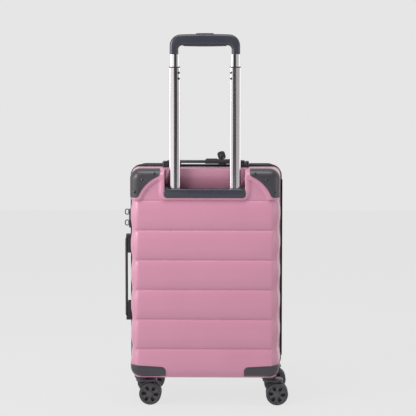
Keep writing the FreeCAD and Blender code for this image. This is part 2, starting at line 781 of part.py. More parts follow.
def zip_puller(level):
    """A flat pull with an eye on the slider's pin and a finger loop."""
    body = new_body()
    eye = new_sketch(body, "XZ_Plane", "-(split - 1.1)")
    draw_circle(eye, pull_pivot, level, 1.9)
    add_pad(body, eye, 2.2, reverse=True)
    neck = new_sketch(body, "XZ_Plane", "-(split - 1.1)")
    draw_outline(neck, ((f"{pull_pivot} - 3", f"{level} - 1.5"), (pull_pivot, f"{level} - 1.5"),
                        (pull_pivot, f"{level} + 1.5"), (f"{pull_pivot} - 3", f"{level} + 1.5")))
    add_pad(body, neck, 2.2, reverse=True)
    loop = new_sketch(body, "XZ_Plane", "-(split - 1.1)")
    draw_circle(loop, f"{pull_pivot} - 5.3", level, 3.9)
    draw_circle(loop, f"{pull_pivot} - 5.3", level, 2.1)
    add_pad(body, loop, 2.2, reverse=True)
    hole = new_sketch(body, "XZ_Plane", "-(split - 5)")
    draw_circle(hole, pull_pivot, level, "0.8 + fit")
    add_pocket(body, hole, 10)
    return body


for name, level in (("upper", "lock_centre + puller_rise"), ("lower", "lock_centre - puller_rise")):
    keep(zip_slider(level), f"zip_slider_{name}")
    keep(zip_puller(level), f"zip_puller_{name}")

dial_x, dial_y = "-(shell_half - dial_deep)", "-dial_back"
dial_levels = [f"lock_centre + {step}" for step in (-5, 1, 7)]
lock_cuts = [cylinder("dial_radius + 0.4", "dial_thick + 0.8", (0, 0, 1), dial_x, dial_y,
                      f"{level} - dial_thick / 2 - 0.4")
             for level in dial_levels]
button_well = box(("-(shell_half + 10)", "-(shell_half - 3)"), (-6.8, 1.8),
                  ("lock_centre - 18.3", "lock_centre - 11.7"))
pin_bar = cylinder(1, 24, (0, 0, 1), dial_x, dial_y, "lock_centre - 11")
keep(fuse(cut(lock_seat(), *lock_cuts, button_well), pin_bar), "lock_body")
for number, level in enumerate(dial_levels, start=1):
    dial = cylinder("dial_radius", "dial_thick", (0, 0, 1), dial_x, dial_y,
                    f"{level} - dial_thick / 2")
    hole = cylinder("1 + fit", 6, (0, 0, 1), dial_x, dial_y, f"{level} - 3")
    keep(cut(dial, hole), f"lock_dial_{number}")
keep(box(("-(shell_half + lock_proud + 1)", "-(shell_half - 0.2)"), (-6.4, 1.4),
         ("lock_centre - 17.9", "lock_centre - 12.1")), "lock_button")


# ---- packing straps -----------------------------------------------------------------------------

buckle_level = "(rim_low + rim_top) / 2 - band_drop"


def packing_band(turn):
    """One of the two straps that cross over the rear half's packing space."""
    band = doc.addObject("Part::Box", "Band")
    for size, text in (("Length", "band_long"), ("Width", "band_thick"), ("Height", "band_wide")):
        band.setExpression(size, bound(text))
    middle = Vector(0, value("-lining_back + lining_thick + 0.1"), value(buckle_level))
    spin = Rotation(Vector(0, 1, 0), turn)
    corner = Vector(value("band_long / 2"), 0, value("band_wide / 2"))
    band.Placement = Placement(middle - spin.multVec(corner), spin)
    return band


keep(fuse(packing_band(42), packing_band(-42)), "packing_straps")
buckle = sideways(
    lambda sketch: draw_rounded(sketch, "-buckle_half", "buckle_half",
                                f"{buckle_level} - buckle_rise", f"{buckle_level} + buckle_rise",
                                9),
    "-lining_back + lining_thick + 1.8", "-lining_back + lining_thick + 8")
add_fillet(buckle, 2.5, flat_at("Y", "-lining_back + lining_thick + 8"))
keep(buckle, "strap_buckle")


# ---- casters ------------------------------------------------------------------------------------

def caster_fork(hand, side):
    """Swivel pin, turntable, hood, stem and axle as one moulded fork."""
    body = new_body()
    stem = new_sketch(body, "XZ_Plane", minus("wheel_inner - stem_play"))
    draw_outline(stem, ((-9, "hood_top"), (-9, 41), (11, 19), ("trail + 3", 16.5),
                        ("trail + 9", 26), ("trail + 6", "hood_top")))
    add_pad(body, stem, "2 * (wheel_inner - stem_play)")
    add_fillet(body, 4, lambda edge: edge.BoundBox.XLength < 0.01 and edge.BoundBox.ZLength < 0.01
               and edge.CenterOfMass.z < 50)
    hood = new_sketch(body, "XY_Plane", "hood_low")
    draw_rounded(hood, -13, "trail + 14", "-wheel_outer + 1", "wheel_outer - 1", 11)
    add_pad(body, hood, "hood_top - hood_low")
    rim = flat_at("Z", "hood_top")
    add_fillet(body, 3, lambda edge: rim(edge) and abs(edge.CenterOfMass.y) > 6)
    for radius, low, high in (("turntable", "hood_top", "boss_low - 0.3"),
                              ("swivel_pin", "hood_top", "boss_low + 15.5")):
        ring_sketch = new_sketch(body, "XY_Plane", low)
        draw_circle(ring_sketch, 0, 0, radius)
        add_pad(body, ring_sketch, f"({high}) - ({low})")
    axle = new_sketch(body, "XZ_Plane", minus("wheel_outer - 0.5"))
    draw_circle(axle, "trail", "wheel_radius", "axle_radius")
    add_pad(body, axle, "2 * (wheel_outer - 0.5)")
    return place(body, swivel_x(hand), swivel_y(side), 0)


def wheel(hand, side, flip):
    """One of a caster's two wheels: a spoked hub and its tyre, outer side along +Y."""
    width = "(wheel_outer - wheel_inner)"
    hub = new_body()
    profile = new_sketch(hub, "XY_Plane")
    draw_outline(profile, (
        ("axle_radius + fit", 0), ("tyre_inside", 0), ("tyre_inside", f"{width} - 0.5"),
        ("tyre_inside - 1.8", f"{width} - 0.5"), ("tyre_inside - 2.6", f"{width} - 3"),
        (8, f"{width} - 3"), (6.8, width), ("axle_radius + fit", width),
    ))
    spin = hub.newObject("PartDesign::Revolution", "Revolution")
    spin.Profile = profile
    spin.ReferenceAxis = (profile, ["V_Axis"])
    spin.Angle = 360
    window = new_sketch(hub, "XZ_Plane", 1)
    draw_outline(window, ((-2.4, 9.8), (2.4, 9.8), (3.8, 17.4), (-3.8, 17.4)))
    opening = add_pocket(hub, window, 20)
    pattern = hub.newObject("PartDesign::PolarPattern", "PolarPattern")
    pattern.Originals = [opening]
    pattern.Axis = (window, ["N_Axis"])
    pattern.Angle = 360
    pattern.Occurrences = 6
    hub.Tip = pattern
    tyre = new_body()
    section = new_sketch(tyre, "XY_Plane")
    draw_outline(section, (
        ("tyre_inside", 0.2), ("wheel_radius - 1.5", 0.2), ("wheel_radius", 2),
        ("wheel_radius", f"{width} - 2"), ("wheel_radius - 1.5", f"{width} - 0.2"),
        ("tyre_inside", f"{width} - 0.2"),
    ))
    turn = tyre.newObject("PartDesign::Revolution", "Revolution")
    turn.Profile = section
    turn.ReferenceAxis = (section, ["V_Axis"])
    turn.Angle = 360
    pair = group(hub, tyre)
    start = f"{swivel_y(side)} + ({flip}) * wheel_inner"
    facing = Rotation(Vector(0, 0, 1), 0 if flip > 0 else 180)
    return place(pair, f"{swivel_x(hand)} + trail", start, "wheel_radius", facing)


for side, end in ((-1, "rear"), (1, "front")):
    for hand, name in ((-1, "left"), (1, "right")):
        keep(caster_fork(hand, side), f"caster_fork_{end}_{name}")
        keep(wheel(hand, side, side), f"wheel_{end}_{name}_outer")
        keep(wheel(hand, side, -side), f"wheel_{end}_{name}_inner")


# ---- checks and files ---------------------------------------------------------------------------

doc.recompute()
failed = [item for item in doc.Objects if {"Invalid", "Error"} & set(item.State)]
if failed:
    raise ValueError(", ".join(f"{item.Label}: {item.getStatusString()}" for item in failed))
for part in nodes:
    if part.Shape.isNull() or not part.Shape.isValid() or not part.Shape.Solids:
        raise ValueError(f"{part.Label} has no valid solid")
os.makedirs("parts", exist_ok=True)
for part in nodes:
    part.Shape.exportStep(f"parts/{part.Label}.step")
print(len(nodes), "sub-parts written")
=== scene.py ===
import math

import bmesh
import bpy
from mathutils import Matrix, Vector, noise


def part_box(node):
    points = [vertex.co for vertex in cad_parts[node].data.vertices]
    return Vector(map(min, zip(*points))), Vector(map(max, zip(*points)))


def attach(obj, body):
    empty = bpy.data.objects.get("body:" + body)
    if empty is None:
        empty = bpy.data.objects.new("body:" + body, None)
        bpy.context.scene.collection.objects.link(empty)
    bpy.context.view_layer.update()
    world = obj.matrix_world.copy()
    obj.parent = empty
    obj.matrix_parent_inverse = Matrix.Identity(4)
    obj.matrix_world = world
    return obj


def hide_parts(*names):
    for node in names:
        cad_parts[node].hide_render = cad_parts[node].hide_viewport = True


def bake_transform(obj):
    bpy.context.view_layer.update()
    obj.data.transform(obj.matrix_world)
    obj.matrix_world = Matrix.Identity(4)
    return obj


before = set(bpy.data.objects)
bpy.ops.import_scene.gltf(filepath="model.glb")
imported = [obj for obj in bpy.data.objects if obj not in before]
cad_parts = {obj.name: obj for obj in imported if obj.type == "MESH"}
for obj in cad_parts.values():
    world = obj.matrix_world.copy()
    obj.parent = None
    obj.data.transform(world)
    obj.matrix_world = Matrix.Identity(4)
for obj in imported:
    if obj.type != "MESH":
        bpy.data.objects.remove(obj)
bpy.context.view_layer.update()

# A cabin-size hard shell suitcase. Every piece is drawn in millimetres in the frame's own axes
# and turned to metres when it is finished: +Z up, -Y the rear face, +X the hinge side.

X, Y, Z = Vector((1, 0, 0)), Vector((0, 1, 0)), Vector((0, 0, 1))
HANDS = ((-1, "left"), (1, "right"))
ENDS = ((-1, "rear"), (1, "front"))


def span(node):
    """A CAD node's lowest and highest corners, in millimetres."""
    low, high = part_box(node)
    return low * 1000, high * 1000


def middle(node):
    low, high = span(node)
    return (low + high) / 2


# ---- surfaces -----------------------------------------------------------------------------------

def start_material(name):
    """A new material: its node tree, its shader and its piece's own coordinates."""
    material = bpy.data.materials.new(name)
    material.use_nodes = True
    tree = material.node_tree
    shader = tree.nodes["Principled BSDF"]
    coordinates = tree.nodes.new("ShaderNodeTexCoord").outputs["Object"]
    return material, tree, shader, coordinates


def stretch(tree, vector, scale):
    mapping = tree.nodes.new("ShaderNodeMapping")
    mapping.inputs["Scale"].default_value = scale
    tree.links.new(vector, mapping.inputs["Vector"])
    return mapping.outputs["Vector"]


def cloudy(tree, vector, scale, detail=3.0, rough=0.5):
    """A noise value between 0 and 1; scale is in features per metre."""
    texture = tree.nodes.new("ShaderNodeTexNoise")
    texture.inputs["Scale"].default_value = scale
    texture.inputs["Detail"].default_value = detail
    texture.inputs["Roughness"].default_value = rough
    tree.links.new(vector, texture.inputs["Vector"])
    return texture.outputs["Fac"]


def spread(tree, value, low, high, start=0.3, end=0.7):
    """A value between low and high as its input goes from start to end."""
    ramp = tree.nodes.new("ShaderNodeMapRange")
    ramp.inputs["From Min"].default_value = start
    ramp.inputs["From Max"].default_value = end
    ramp.inputs["To Min"].default_value = low
    ramp.inputs["To Max"].default_value = high
    tree.links.new(value, ramp.inputs["Value"])
    return ramp.outputs["Result"]


def blend_colours(tree, value, first, second):
    mix = tree.nodes.new("ShaderNodeMix")
    mix.data_type = "RGBA"
    mix.inputs["A"].default_value = (*first, 1)
    mix.inputs["B"].default_value = (*second, 1)
    tree.links.new(value, mix.inputs["Factor"])
    return mix.outputs["Result"]


def combine(tree, kind, first, second):
    sums = tree.nodes.new("ShaderNodeMath")
    sums.operation = kind
    for socket, value in zip(sums.inputs, (first, second)):
        if isinstance(value, (int, float)):
            socket.default_value = value
        else:
            tree.links.new(value, socket)
    return sums.outputs["Value"]


def raise_surface(tree, shader, height, depth, strength=1.0):
    """Lift the surface by a height value; depth is in metres."""
    bump = tree.nodes.new("ShaderNodeBump")
    bump.inputs["Strength"].default_value = strength
    bump.inputs["Distance"].default_value = depth
    tree.links.new(height, bump.inputs["Height"])
    tree.links.new(bump.outputs["Normal"], shader.inputs["Normal"])


def tint(colour, factor):
    return tuple(min(1.0, channel * factor) for channel in colour)


def moulded(name, colour, rough, grain=900, depth=0.00006, drift=0.08, coat=0.0):
    """Moulded plastic or rubber: a fine spark-eroded grain, and colour and gloss that drift."""
    material, tree, shader, place = start_material(name)
    patch = cloudy(tree, place, 14, 4.0)
    tree.links.new(blend_colours(tree, spread(tree, patch, 0, 1), tint(colour, 1 - drift),
                                 tint(colour, 1 + drift)), shader.inputs["Base Color"])
    rub = cloudy(tree, place, 60, 6.0, 0.6)
    tree.links.new(spread(tree, rub, rough - 0.02, rough + 0.03), shader.inputs["Roughness"])
    raise_surface(tree, shader, cloudy(tree, place, grain, 2.0), depth)
    shader.inputs["Coat Weight"].default_value = coat
    shader.inputs["Coat Roughness"].default_value = 0.25
    return material


def drawn_metal(name, colour, rough, lines=(900, 900, 6), depth=0.00002):
    """Drawn or anodised metal with fine lines along its length."""
    material, tree, shader, place = start_material(name)
    line = cloudy(tree, stretch(tree, place, lines), 1.0, 3.0)
    tree.links.new(blend_colours(tree, spread(tree, line, 0, 1), tint(colour, 0.9),
                                 tint(colour, 1.08)), shader.inputs["Base Color"])
    tree.links.new(spread(tree, line, rough - 0.03, rough + 0.05), shader.inputs["Roughness"])
    raise_surface(tree, shader, line, depth)
    shader.inputs["Metallic"].default_value = 1.0
    return material


def woven(name, colour, pitch, depth, rough=0.85, axes=("x", "z"), sheen=0.25):
    """Plain weave: two crossed sets of yarn, pitch in millimetres. Its colour carries painted shade
    between the yarns, darker where they sink, plus random patches of tone.
    """
    material, tree, shader, place = start_material(name)
    parts = tree.nodes.new("ShaderNodeSeparateXYZ")
    tree.links.new(place, parts.inputs["Vector"])
    waves = []
    for axis in axes:
        turns = combine(tree, "MULTIPLY", parts.outputs[axis.upper()], 2000 * math.pi / pitch)
        waves.append(combine(tree, "SINE", turns, 0))
    yarn = combine(tree, "MULTIPLY", waves[0], waves[1])
    fuzz = cloudy(tree, place, 400, 4.0)
    patch = cloudy(tree, place, 25, 3.0)
    height = combine(tree, "ADD", combine(tree, "MULTIPLY", yarn, 0.5), fuzz)
    # colour: painted shade, darker where the yarn sinks, mixed with random patches of the cloth's
    # own tone
    weave_shade_and_tone = combine(tree, "ADD", combine(tree, "MULTIPLY", yarn, 0.25), patch)
    tree.links.new(blend_colours(tree, spread(tree, weave_shade_and_tone, 0, 1, 0.2, 0.8), tint(colour, 0.75),
                                 tint(colour, 1.25)), shader.inputs["Base Color"])
    shader.inputs["Roughness"].default_value = rough
    shader.inputs["Sheen Weight"].default_value = sheen
    shader.inputs["Sheen Roughness"].default_value = 0.5
    raise_surface(tree, shader, height, depth)
    return material


paint = {
    "shell": moulded("pink_polycarbonate", (0.545, 0.236, 0.334), 0.33, 1100, 0.00005, 0.02, 0.3),
    "trim": moulded("trim_grey_plastic", (0.044, 0.040, 0.047), 0.34, 1400, 0.00005, 0.10),
    "rim": moulded("rim_black_rubber", (0.020, 0.018, 0.022), 0.55, 1500, 0.00008),
    "grip": moulded("grip_soft_touch", (0.036, 0.038, 0.050), 0.27, 1600, 0.00003),
    "pad": moulded("grip_pad_rubber", (0.050, 0.043, 0.050), 0.6, 1200, 0.00010),
    "black": moulded("black_plastic", (0.014, 0.014, 0.017), 0.40, 1200, 0.00005),
    "tyre": moulded("tyre_polyurethane", (0.040, 0.038, 0.044), 0.5, 1000, 0.00008),
    "hub": moulded("hub_grey_plastic", (0.062, 0.058, 0.066), 0.40, 1300, 0.00006),
    "strap": moulded("strap_rubber", (0.028, 0.027, 0.034), 0.5, 1500, 0.00008),
    "tube": drawn_metal("tube_gunmetal", (0.80, 0.75, 0.78), 0.12, (500, 500, 5), 0.000002),
    "tube_inner": drawn_metal("tube_silver", (0.90, 0.88, 0.90), 0.11, (500, 500, 5), 0.000002),
    "screw": drawn_metal("screw_black_zinc", (0.085, 0.083, 0.09), 0.24, (400, 30, 400)),
    "chrome": drawn_metal("zip_chrome", (0.17, 0.165, 0.175), 0.16, (300, 300, 300), 0.000005),
    "lining": woven("lining_cloth", (0.115, 0.11, 0.135), 0.9, 0.00016),
    "webbing": woven("webbing_black", (0.022, 0.022, 0.026), 1.6, 0.0004),
    "hinge": woven("hinge_cloth", (0.018, 0.018, 0.022), 0.8, 0.0002, axes=("y", "z")),
    "teeth": moulded("zip_nylon", (0.024, 0.024, 0.028), 0.35, 1500, 0.00002),
    "leather": moulded("tag_leather", (0.022, 0.022, 0.026), 0.5, 700, 0.00020),
    "thread": moulded("stitch_thread", (0.060, 0.058, 0.068), 0.8, 2500, 0.00010),
}


# ---- tools for shapes ---------------------------------------------------------------------------

def block(low, high):
    """A box between two corners."""
    low, high = Vector(low), Vector(high)
    bm = bmesh.new()
    bmesh.ops.create_cube(bm, size=1)
    bmesh.ops.scale(bm, vec=high - low, verts=bm.verts)
    bmesh.ops.translate(bm, vec=(low + high) / 2, verts=bm.verts)
    return bm


def round_edges(bm, radius, steps, chosen=None):
    """Round the edges that the test picks, or all of them."""
    edges = [edge for edge in bm.edges if chosen is None or chosen(edge)]
    bmesh.ops.bevel(bm, geom=edges, offset=radius, offset_type="OFFSET", segments=steps,
                    affect="EDGES", profile=0.5, material=-1, clamp_overlap=True)
    return bm


def runs_along(axis):
    """A test for edges parallel to an axis."""
    def chosen(edge):
        run = edge.verts[1].co - edge.verts[0].co
        return run.length > 0 and abs(run.normalized().dot(axis)) > 0.999
    return chosen


def sharper_than(degrees):
    def chosen(edge):
        return len(edge.link_faces) == 2 and edge.calc_face_angle(0) > math.radians(degrees)
    return chosen


def rounded_block(low, high, axis, corner, rim, steps=6):
    """A box with round corners seen along an axis and a softer rounding at its two ends."""
    bm = block(low, high)
    round_edges(bm, corner, steps, runs_along(axis))
    if rim:
        round_edges(bm, rim, 3, sharper_than(60))
    return bm


def lathe(profile, centre, axis, steps=48):
    """Spin a closed profile of (radius, height) points about an axis through a centre."""
    bm = bmesh.new()
    turn = axis.to_track_quat("Z", "Y").to_matrix().to_4x4()
    place = Matrix.Translation(centre) @ turn
    verts = [bm.verts.new(place @ Vector((radius, 0, height))) for radius, height in profile]
    edges = [bm.edges.new((a, b)) for a, b in zip(verts, verts[1:] + verts[:1])]
    bmesh.ops.spin(bm, geom=verts + edges, cent=centre, axis=axis, angle=2 * math.pi,
                   steps=steps, use_merge=True)
    return bm


def facing_y(point, level):
    """Lift an (x, z) point to a depth."""
    return Vector((point[0], level, point[1]))


def facing_z(point, level):
    """Lift an (x, y) point to a height."""
    return Vector((point[0], point[1], level))


def facing_x(point, level):
    """Lift a (y, z) point to a place across the width."""
    return Vector((level, point[0], point[1]))


def soft_face(corners, lift, level, steps=6):
    """A flat face; each corner is (across, up, how far its rounding reaches)."""
    bm = bmesh.new()
    verts = [bm.verts.new(lift(corner, level)) for corner in corners]
    bm.faces.new(verts)
    for vert, corner in zip(verts, corners):
        if corner[2]:
            bmesh.ops.bevel(bm, geom=[vert], offset=corner[2], offset_type="OFFSET",
                            segments=steps, affect="VERTICES", profile=0.5, material=-1)
    return bm


def rectangle(left, right, low, high, corner):
    return ((left, low, corner), (right, low, corner), (right, high, corner), (left, high, corner))


def hollow_out(bm, band):
    """Leave a band of that width along a flat face's outline."""
    inside = bm.faces[:]
    bmesh.ops.inset_region(bm, faces=inside, thickness=band, use_even_offset=True,
                           use_boundary=True)
    bmesh.ops.delete(bm, geom=inside, context="FACES")


def draw_out(bm, shift):
    """Give a flat drawing its depth and close it."""
    made = bmesh.ops.extrude_face_region(bm, geom=bm.faces[:])["geom"]
    bmesh.ops.translate(bm, vec=shift,
                        verts=[item for item in made if isinstance(item, bmesh.types.BMVert)])
    bmesh.ops.recalc_face_normals(bm, faces=bm.faces)
    return bm


def slab(corners, lift, low, high, edge=0.0, band=0.0, steps=6):
    """A plate, or a ring if it has a band, between two levels, with rounded edges."""
    bm = soft_face(corners, lift, low, steps)
    if band:
        hollow_out(bm, band)
    draw_out(bm, lift((0, 0), high) - lift((0, 0), low))
    if edge:
        round_edges(bm, edge, 3, sharper_than(60))
    return bm


def cut_across(bm, cuts):
    """Divide a shape by planes, each given as (normal, point)."""
    for normal, point in cuts:
        bmesh.ops.bisect_plane(bm, geom=bm.verts[:] + bm.edges[:] + bm.faces[:], dist=0.0001,
                               plane_co=point, plane_no=normal)


def moved(bm, matrix):
    bmesh.ops.transform(bm, matrix=matrix, verts=bm.verts)
    return bm


def join(*parts):
    """One mesh from several; the parts are used up."""
    whole = bmesh.new()
    for part in parts:
        mesh = bpy.data.meshes.new("part")
        part.to_mesh(mesh)
        whole.from_mesh(mesh)
        bpy.data.meshes.remove(mesh)
        part.free()
    return whole


def copy_node(node, edge=0.0, steps=3, angle=35):
    """A CAD node's shape in millimetres with its doubled points merged and its edges rounded."""
    bm = bmesh.new()
    bm.from_mesh(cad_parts[node].data)
    bmesh.ops.scale(bm, vec=(1000, 1000, 1000), verts=bm.verts)
    bmesh.ops.remove_doubles(bm, verts=bm.verts, dist=0.01)
    bmesh.ops.dissolve_limit(bm, angle_limit=math.radians(1), verts=bm.verts, edges=bm.edges)
    if edge:
        round_edges(bm, edge, steps, sharper_than(angle))
    return bm


def soften_corner(bm, x, z, into_x, into_z, reach):
    """Round one corner of a plate, seen along Y, by drawing its points in to a circle."""
    for step in range(1, 7):
        cut_across(bm, ((X, X * (x + into_x * reach * step / 6)),
                        (Z, Z * (z + into_z * reach * step / 6))))
    centre_x, centre_z = x + into_x * reach, z + into_z * reach
    for vert in bm.verts:
        aside, up = vert.co.x - centre_x, vert.co.z - centre_z
        if aside * into_x < 0 and up * into_z < 0:
            share = max(abs(aside), abs(up)) / math.hypot(aside, up)
            vert.co.x, vert.co.z = centre_x + aside * share, centre_z + up * share


def finish_piece(bm, name, body, material, stands_for=(), angle=40):
    """Turn a drawing into a piece: metres, closed outward faces, surface and body."""
    bmesh.ops.remove_doubles(bm, verts=bm.verts, dist=0.0005)
    bmesh.ops.recalc_face_normals(bm, faces=bm.faces)
    bmesh.ops.scale(bm, vec=(0.001, 0.001, 0.001), verts=bm.verts)
    mesh = bpy.data.meshes.new(name)
    bm.to_mesh(mesh)
    bm.free()
    mesh.materials.append(paint[material])
    for polygon in mesh.polygons:
        polygon.use_smooth = True
    mesh.set_sharp_from_angle(angle=math.radians(angle))
    piece = bpy.data.objects.new(name, mesh)
    bpy.context.scene.collection.objects.link(piece)
    if body:
        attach(piece, body)
    if stands_for:
        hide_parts(*stands_for)
    return piece


def thicken(piece, depth, even=True):
    """Give an open skin its wall, inwards, in millimetres."""
    wall = piece.modifiers.new("wall", "SOLIDIFY")
    wall.thickness = depth / 1000
    wall.offset = -1
    wall.use_even_offset = even


def smoothly(value, start, end):
    """0 before start, 1 after end, and a smooth step between."""
    share = min(1.0, max(0.0, (value - start) / (end - start)))
    return share * share * (3 - 2 * share)


# ---- shells -------------------------------------------------------------------------------------

shell_low, shell_high = span("rear_shell")
FACE_HALF, OPEN_HALF = 164, shell_high.x
SHELL_TOP, FACE_LOW, OPEN_LOW = shell_high.z, 64, shell_low.z - 2
ROUND = 18
# heights over the plain shell: a groove's bottom, a rib's crown above it, and a rib's two ends
VALLEY, CROWN, RIB_END = -3.4, 5.4, -1.4
GROOVE_DEEP, GROOVE_HALF = 1.2, 2.4
SIDE_VALLEY, SIDE_WAVE = -1.8, 3.7
# the zone above the ribs, its raised lips, and how far each lip reaches from its border
LIP_FOOT, LIP_RISE, LIP_CORNER = -3.0, 4.4, 8
RECESS_LIP, GUARD_LIP = (11, 8.5), (10, 7.5)
SHELL_WALL = 1.6
GROOVES = [131.5 + 67 * step for step in range(6)]
PITCH = GROOVES[1] - GROOVES[0]
RECESS_HALF, RECESS_FLOOR, RECESS_BACK = 89.7, 475, -73
GUARD_CENTRE, GUARD_CURVE = Vector((71.2, 444.3)), 83


def rib_lines():
    """Heights at which a shell's skin is divided: close beside the grooves and edges."""
    lines = [low + step for low in GROOVES
             for step in (-24, -16, -10, -7, -5, -3.5, -2, -1, 0, 1, 2, 3.5, 5, 7, 10, 16, 24)]
    lines += [SHELL_TOP - step for step in (4, 8, 12, 16, 20)]
    lines += [FACE_LOW + step for step in (4, 8, 12, 16, 20, 28, 36)]
    lines += [GROOVES[-1] + step for step in range(7, 47, 3)]
    return [line for line in lines if FACE_LOW < line < SHELL_TOP]


def cross_lines(with_recess):
    """Places across the width at which the skin is divided."""
    half = [FACE_HALF - step for step in (2, 4, 6, 8, 10, 12, 14, 16, 20)]
    half += list(range(93, 144, 3)) + [15, 30, 45, 60, 75]
    if with_recess:
        half.append(RECESS_HALF)
    return [0] + half + [-line for line in half]


def rib_height(z):
    """How far the face and the side walls stand out at a height, both in millimetres."""
    turn = ((z - GROOVES[0]) / PITCH) % 1
    beside = min(turn, 1 - turn) * PITCH
    pillow = 1 - abs(2 * turn - 1) ** 2
    face = VALLEY + CROWN * pillow - GROOVE_DEEP * math.exp(-(beside / GROOVE_HALF) ** 2)
    side = SIDE_VALLEY + SIDE_WAVE * (0.5 - 0.5 * math.cos(2 * math.pi * turn))
    return face, side


def raised_lips(x, z, with_recess):
    """1 on the lips that border the recess and the corner guards, and 0 between them."""
    lips = []
    if with_recess:
        over, under = abs(x) - RECESS_HALF + LIP_CORNER, RECESS_FLOOR + LIP_CORNER - z
        beyond = math.hypot(max(over, 0), max(under, 0)) + min(max(over, under), 0) - LIP_CORNER
        lips.append(smoothly(beyond, *RECESS_LIP))
    inside = GUARD_CURVE - (Vector((abs(x), z)) - GUARD_CENTRE).length
    lips.append(smoothly(inside, *GUARD_LIP) if z > GROOVES[-1] else 0)
    return max(lips)


def shell_skin(end, face_y, open_y):
    """The outer skin of one shell, from its rounded face to its open edge."""
    inward = -end
    depth = abs(open_y - face_y)
    low_y, high_y = min(face_y, open_y), max(face_y, open_y)
    bm = block((-FACE_HALF, low_y, FACE_LOW), (FACE_HALF, high_y, SHELL_TOP))
    steps = [4, 8, 12, 16, 20, 27, abs(RECESS_BACK - face_y) if end < 0 else 40, 52, 64, 76]
    steps += [depth - 5, depth - 12, depth - 20, depth - 28]
    cuts = [(X, X * line) for line in cross_lines(end < 0)]
    cuts += [(Z, Z * line) for line in rib_lines()]
    cuts += [(Y, Y * (face_y + inward * step)) for step in steps]
    cut_across(bm, cuts)
    opening = [face for face in bm.faces if abs(face.calc_center_median().y - open_y) < 0.01]
    if end < 0:
        opening += [face for face in bm.faces if in_recess(face.calc_center_median())]
    bmesh.ops.delete(bm, geom=opening, context="FACES")
    low = Vector((-FACE_HALF, min(face_y, face_y + inward * 400), FACE_LOW))
    high = Vector((FACE_HALF, max(face_y, face_y + inward * 400), SHELL_TOP))
    for vert in bm.verts:
        place_on_shell(vert, low, high, end, face_y, open_y)
    return bm


def in_recess(point):
    outside = point.y < RECESS_BACK or abs(point.z - SHELL_TOP) > 0.01
    return abs(point.x) < RECESS_HALF and point.z > RECESS_FLOOR and point.y < RECESS_BACK \
        and outside


def place_on_shell(vert, low, high, end, face_y, open_y):
    """Move a point of the plain box onto the rounded, drafted and ribbed shell."""
    point = vert.co.copy()
    core = Vector([min(max(point[i], low[i] + ROUND), high[i] - ROUND) for i in range(3)])
    normal = (point - core).normalized()
    rounded = core + normal * ROUND
    share = (rounded.y - face_y) / (open_y - face_y)
    outer = smoothly(abs(point.x), 100, 150)
    rounded.x += math.copysign((OPEN_HALF - FACE_HALF) * share * outer, point.x)
    rounded.z -= (FACE_LOW - OPEN_LOW) * share * smoothly(point.z, 130, 70)
    face, side = rib_height(point.z)
    face = RIB_END + (face - RIB_END) * smoothly(abs(point.x), 162, 150)
    level = smoothly(point.z, GROOVES[-1] - 2, GROOVES[-1] + 3)
    lips = LIP_FOOT + LIP_RISE * raised_lips(point.x, point.z, end < 0)
    face = face + (lips - face) * level
    side = side * (1 - level)
    sideways = smoothly(abs(normal.x), 0.35, 0.95)
    height = face + (side - face) * sideways
    height *= smoothly(abs(open_y - rounded.y), 8, 30) * smoothly(abs(normal.z), 0.85, 0.35)
    vert.co = rounded + normal * height


def add_recess(bm):
    """Wall the recess in: a floor, a back and two sides with round inner corners."""
    def rim_edges(test):
        return [edge for edge in bm.edges if edge.is_boundary
                and all(test(vert.co) for vert in edge.verts)]

    def draw_to(edges, change):
        made = bmesh.ops.extrude_edge_only(bm, edges=edges)["geom"]
        for item in made:
            if isinstance(item, bmesh.types.BMVert):
                change(item.co)

    def to_back(point):
        point.y = RECESS_BACK

    def to_floor(point):
        point.z = RECESS_FLOOR

    inside = RECESS_HALF + 0.01
    floor = rim_edges(lambda p: abs(p.z - RECESS_FLOOR) < 0.8 and p.y < -100
                      and abs(p.x) < inside)
    for vert in {vert for edge in floor for vert in edge.verts}:
        vert.co.z = RECESS_FLOOR
    back = rim_edges(lambda p: abs(p.y - RECESS_BACK) < 0.8 and p.z > 520 and abs(p.x) < inside)
    draw_to(floor, to_back)
    draw_to(back, to_floor)
    bmesh.ops.remove_doubles(bm, verts=bm.verts, dist=0.01)
    sides = [edge for edge in bm.edges if edge.is_boundary
             and all(abs(abs(vert.co.x) - RECESS_HALF) < 1.2 and vert.co.y < RECESS_BACK + 1
                     and vert.co.z > RECESS_FLOOR - 1 for vert in edge.verts)]
    bmesh.ops.holes_fill(bm, edges=sides, sides=0)
    bmesh.ops.recalc_face_normals(bm, faces=bm.faces)

    def inner_corner(edge):
        ends = [vert.co for vert in edge.verts]
        at_back = all(abs(p.y - RECESS_BACK) < 0.1 for p in ends)
        at_floor = all(abs(p.z - RECESS_FLOOR) < 0.1 for p in ends)
        at_side = all(abs(abs(p.x) - RECESS_HALF) < 0.1 for p in ends)
        return at_back + at_floor + at_side >= 2 and edge.calc_face_angle(0) > 1

    round_edges(bm, 6, 5, inner_corner)


def build_shells():
    """Both shells; only the rear one has the recess."""
    rear = shell_skin(-1, shell_low.y, shell_high.y)
    add_recess(rear)
    front_low, front_high = span("front_shell")
    front = shell_skin(1, front_high.y, front_low.y)
    for bm, end, body in ((rear, "rear", "rear_case"), (front, "front", "front_case")):
        shell = finish_piece(bm, f"{end}_shell_skin", body, "shell",
                             (f"{end}_shell",), 50)
        thicken(shell, SHELL_WALL)


build_shells()


# ---- rims and zip -------------------------------------------------------------------------------

rim_low, rim_high = span("rear_rim")
RIM_CORNER = 26


def rim_corners(inset):
    return rectangle(rim_low.x + inset, rim_high.x - inset, rim_low.z + inset, rim_high.z - inset,
                     RIM_CORNER - inset)


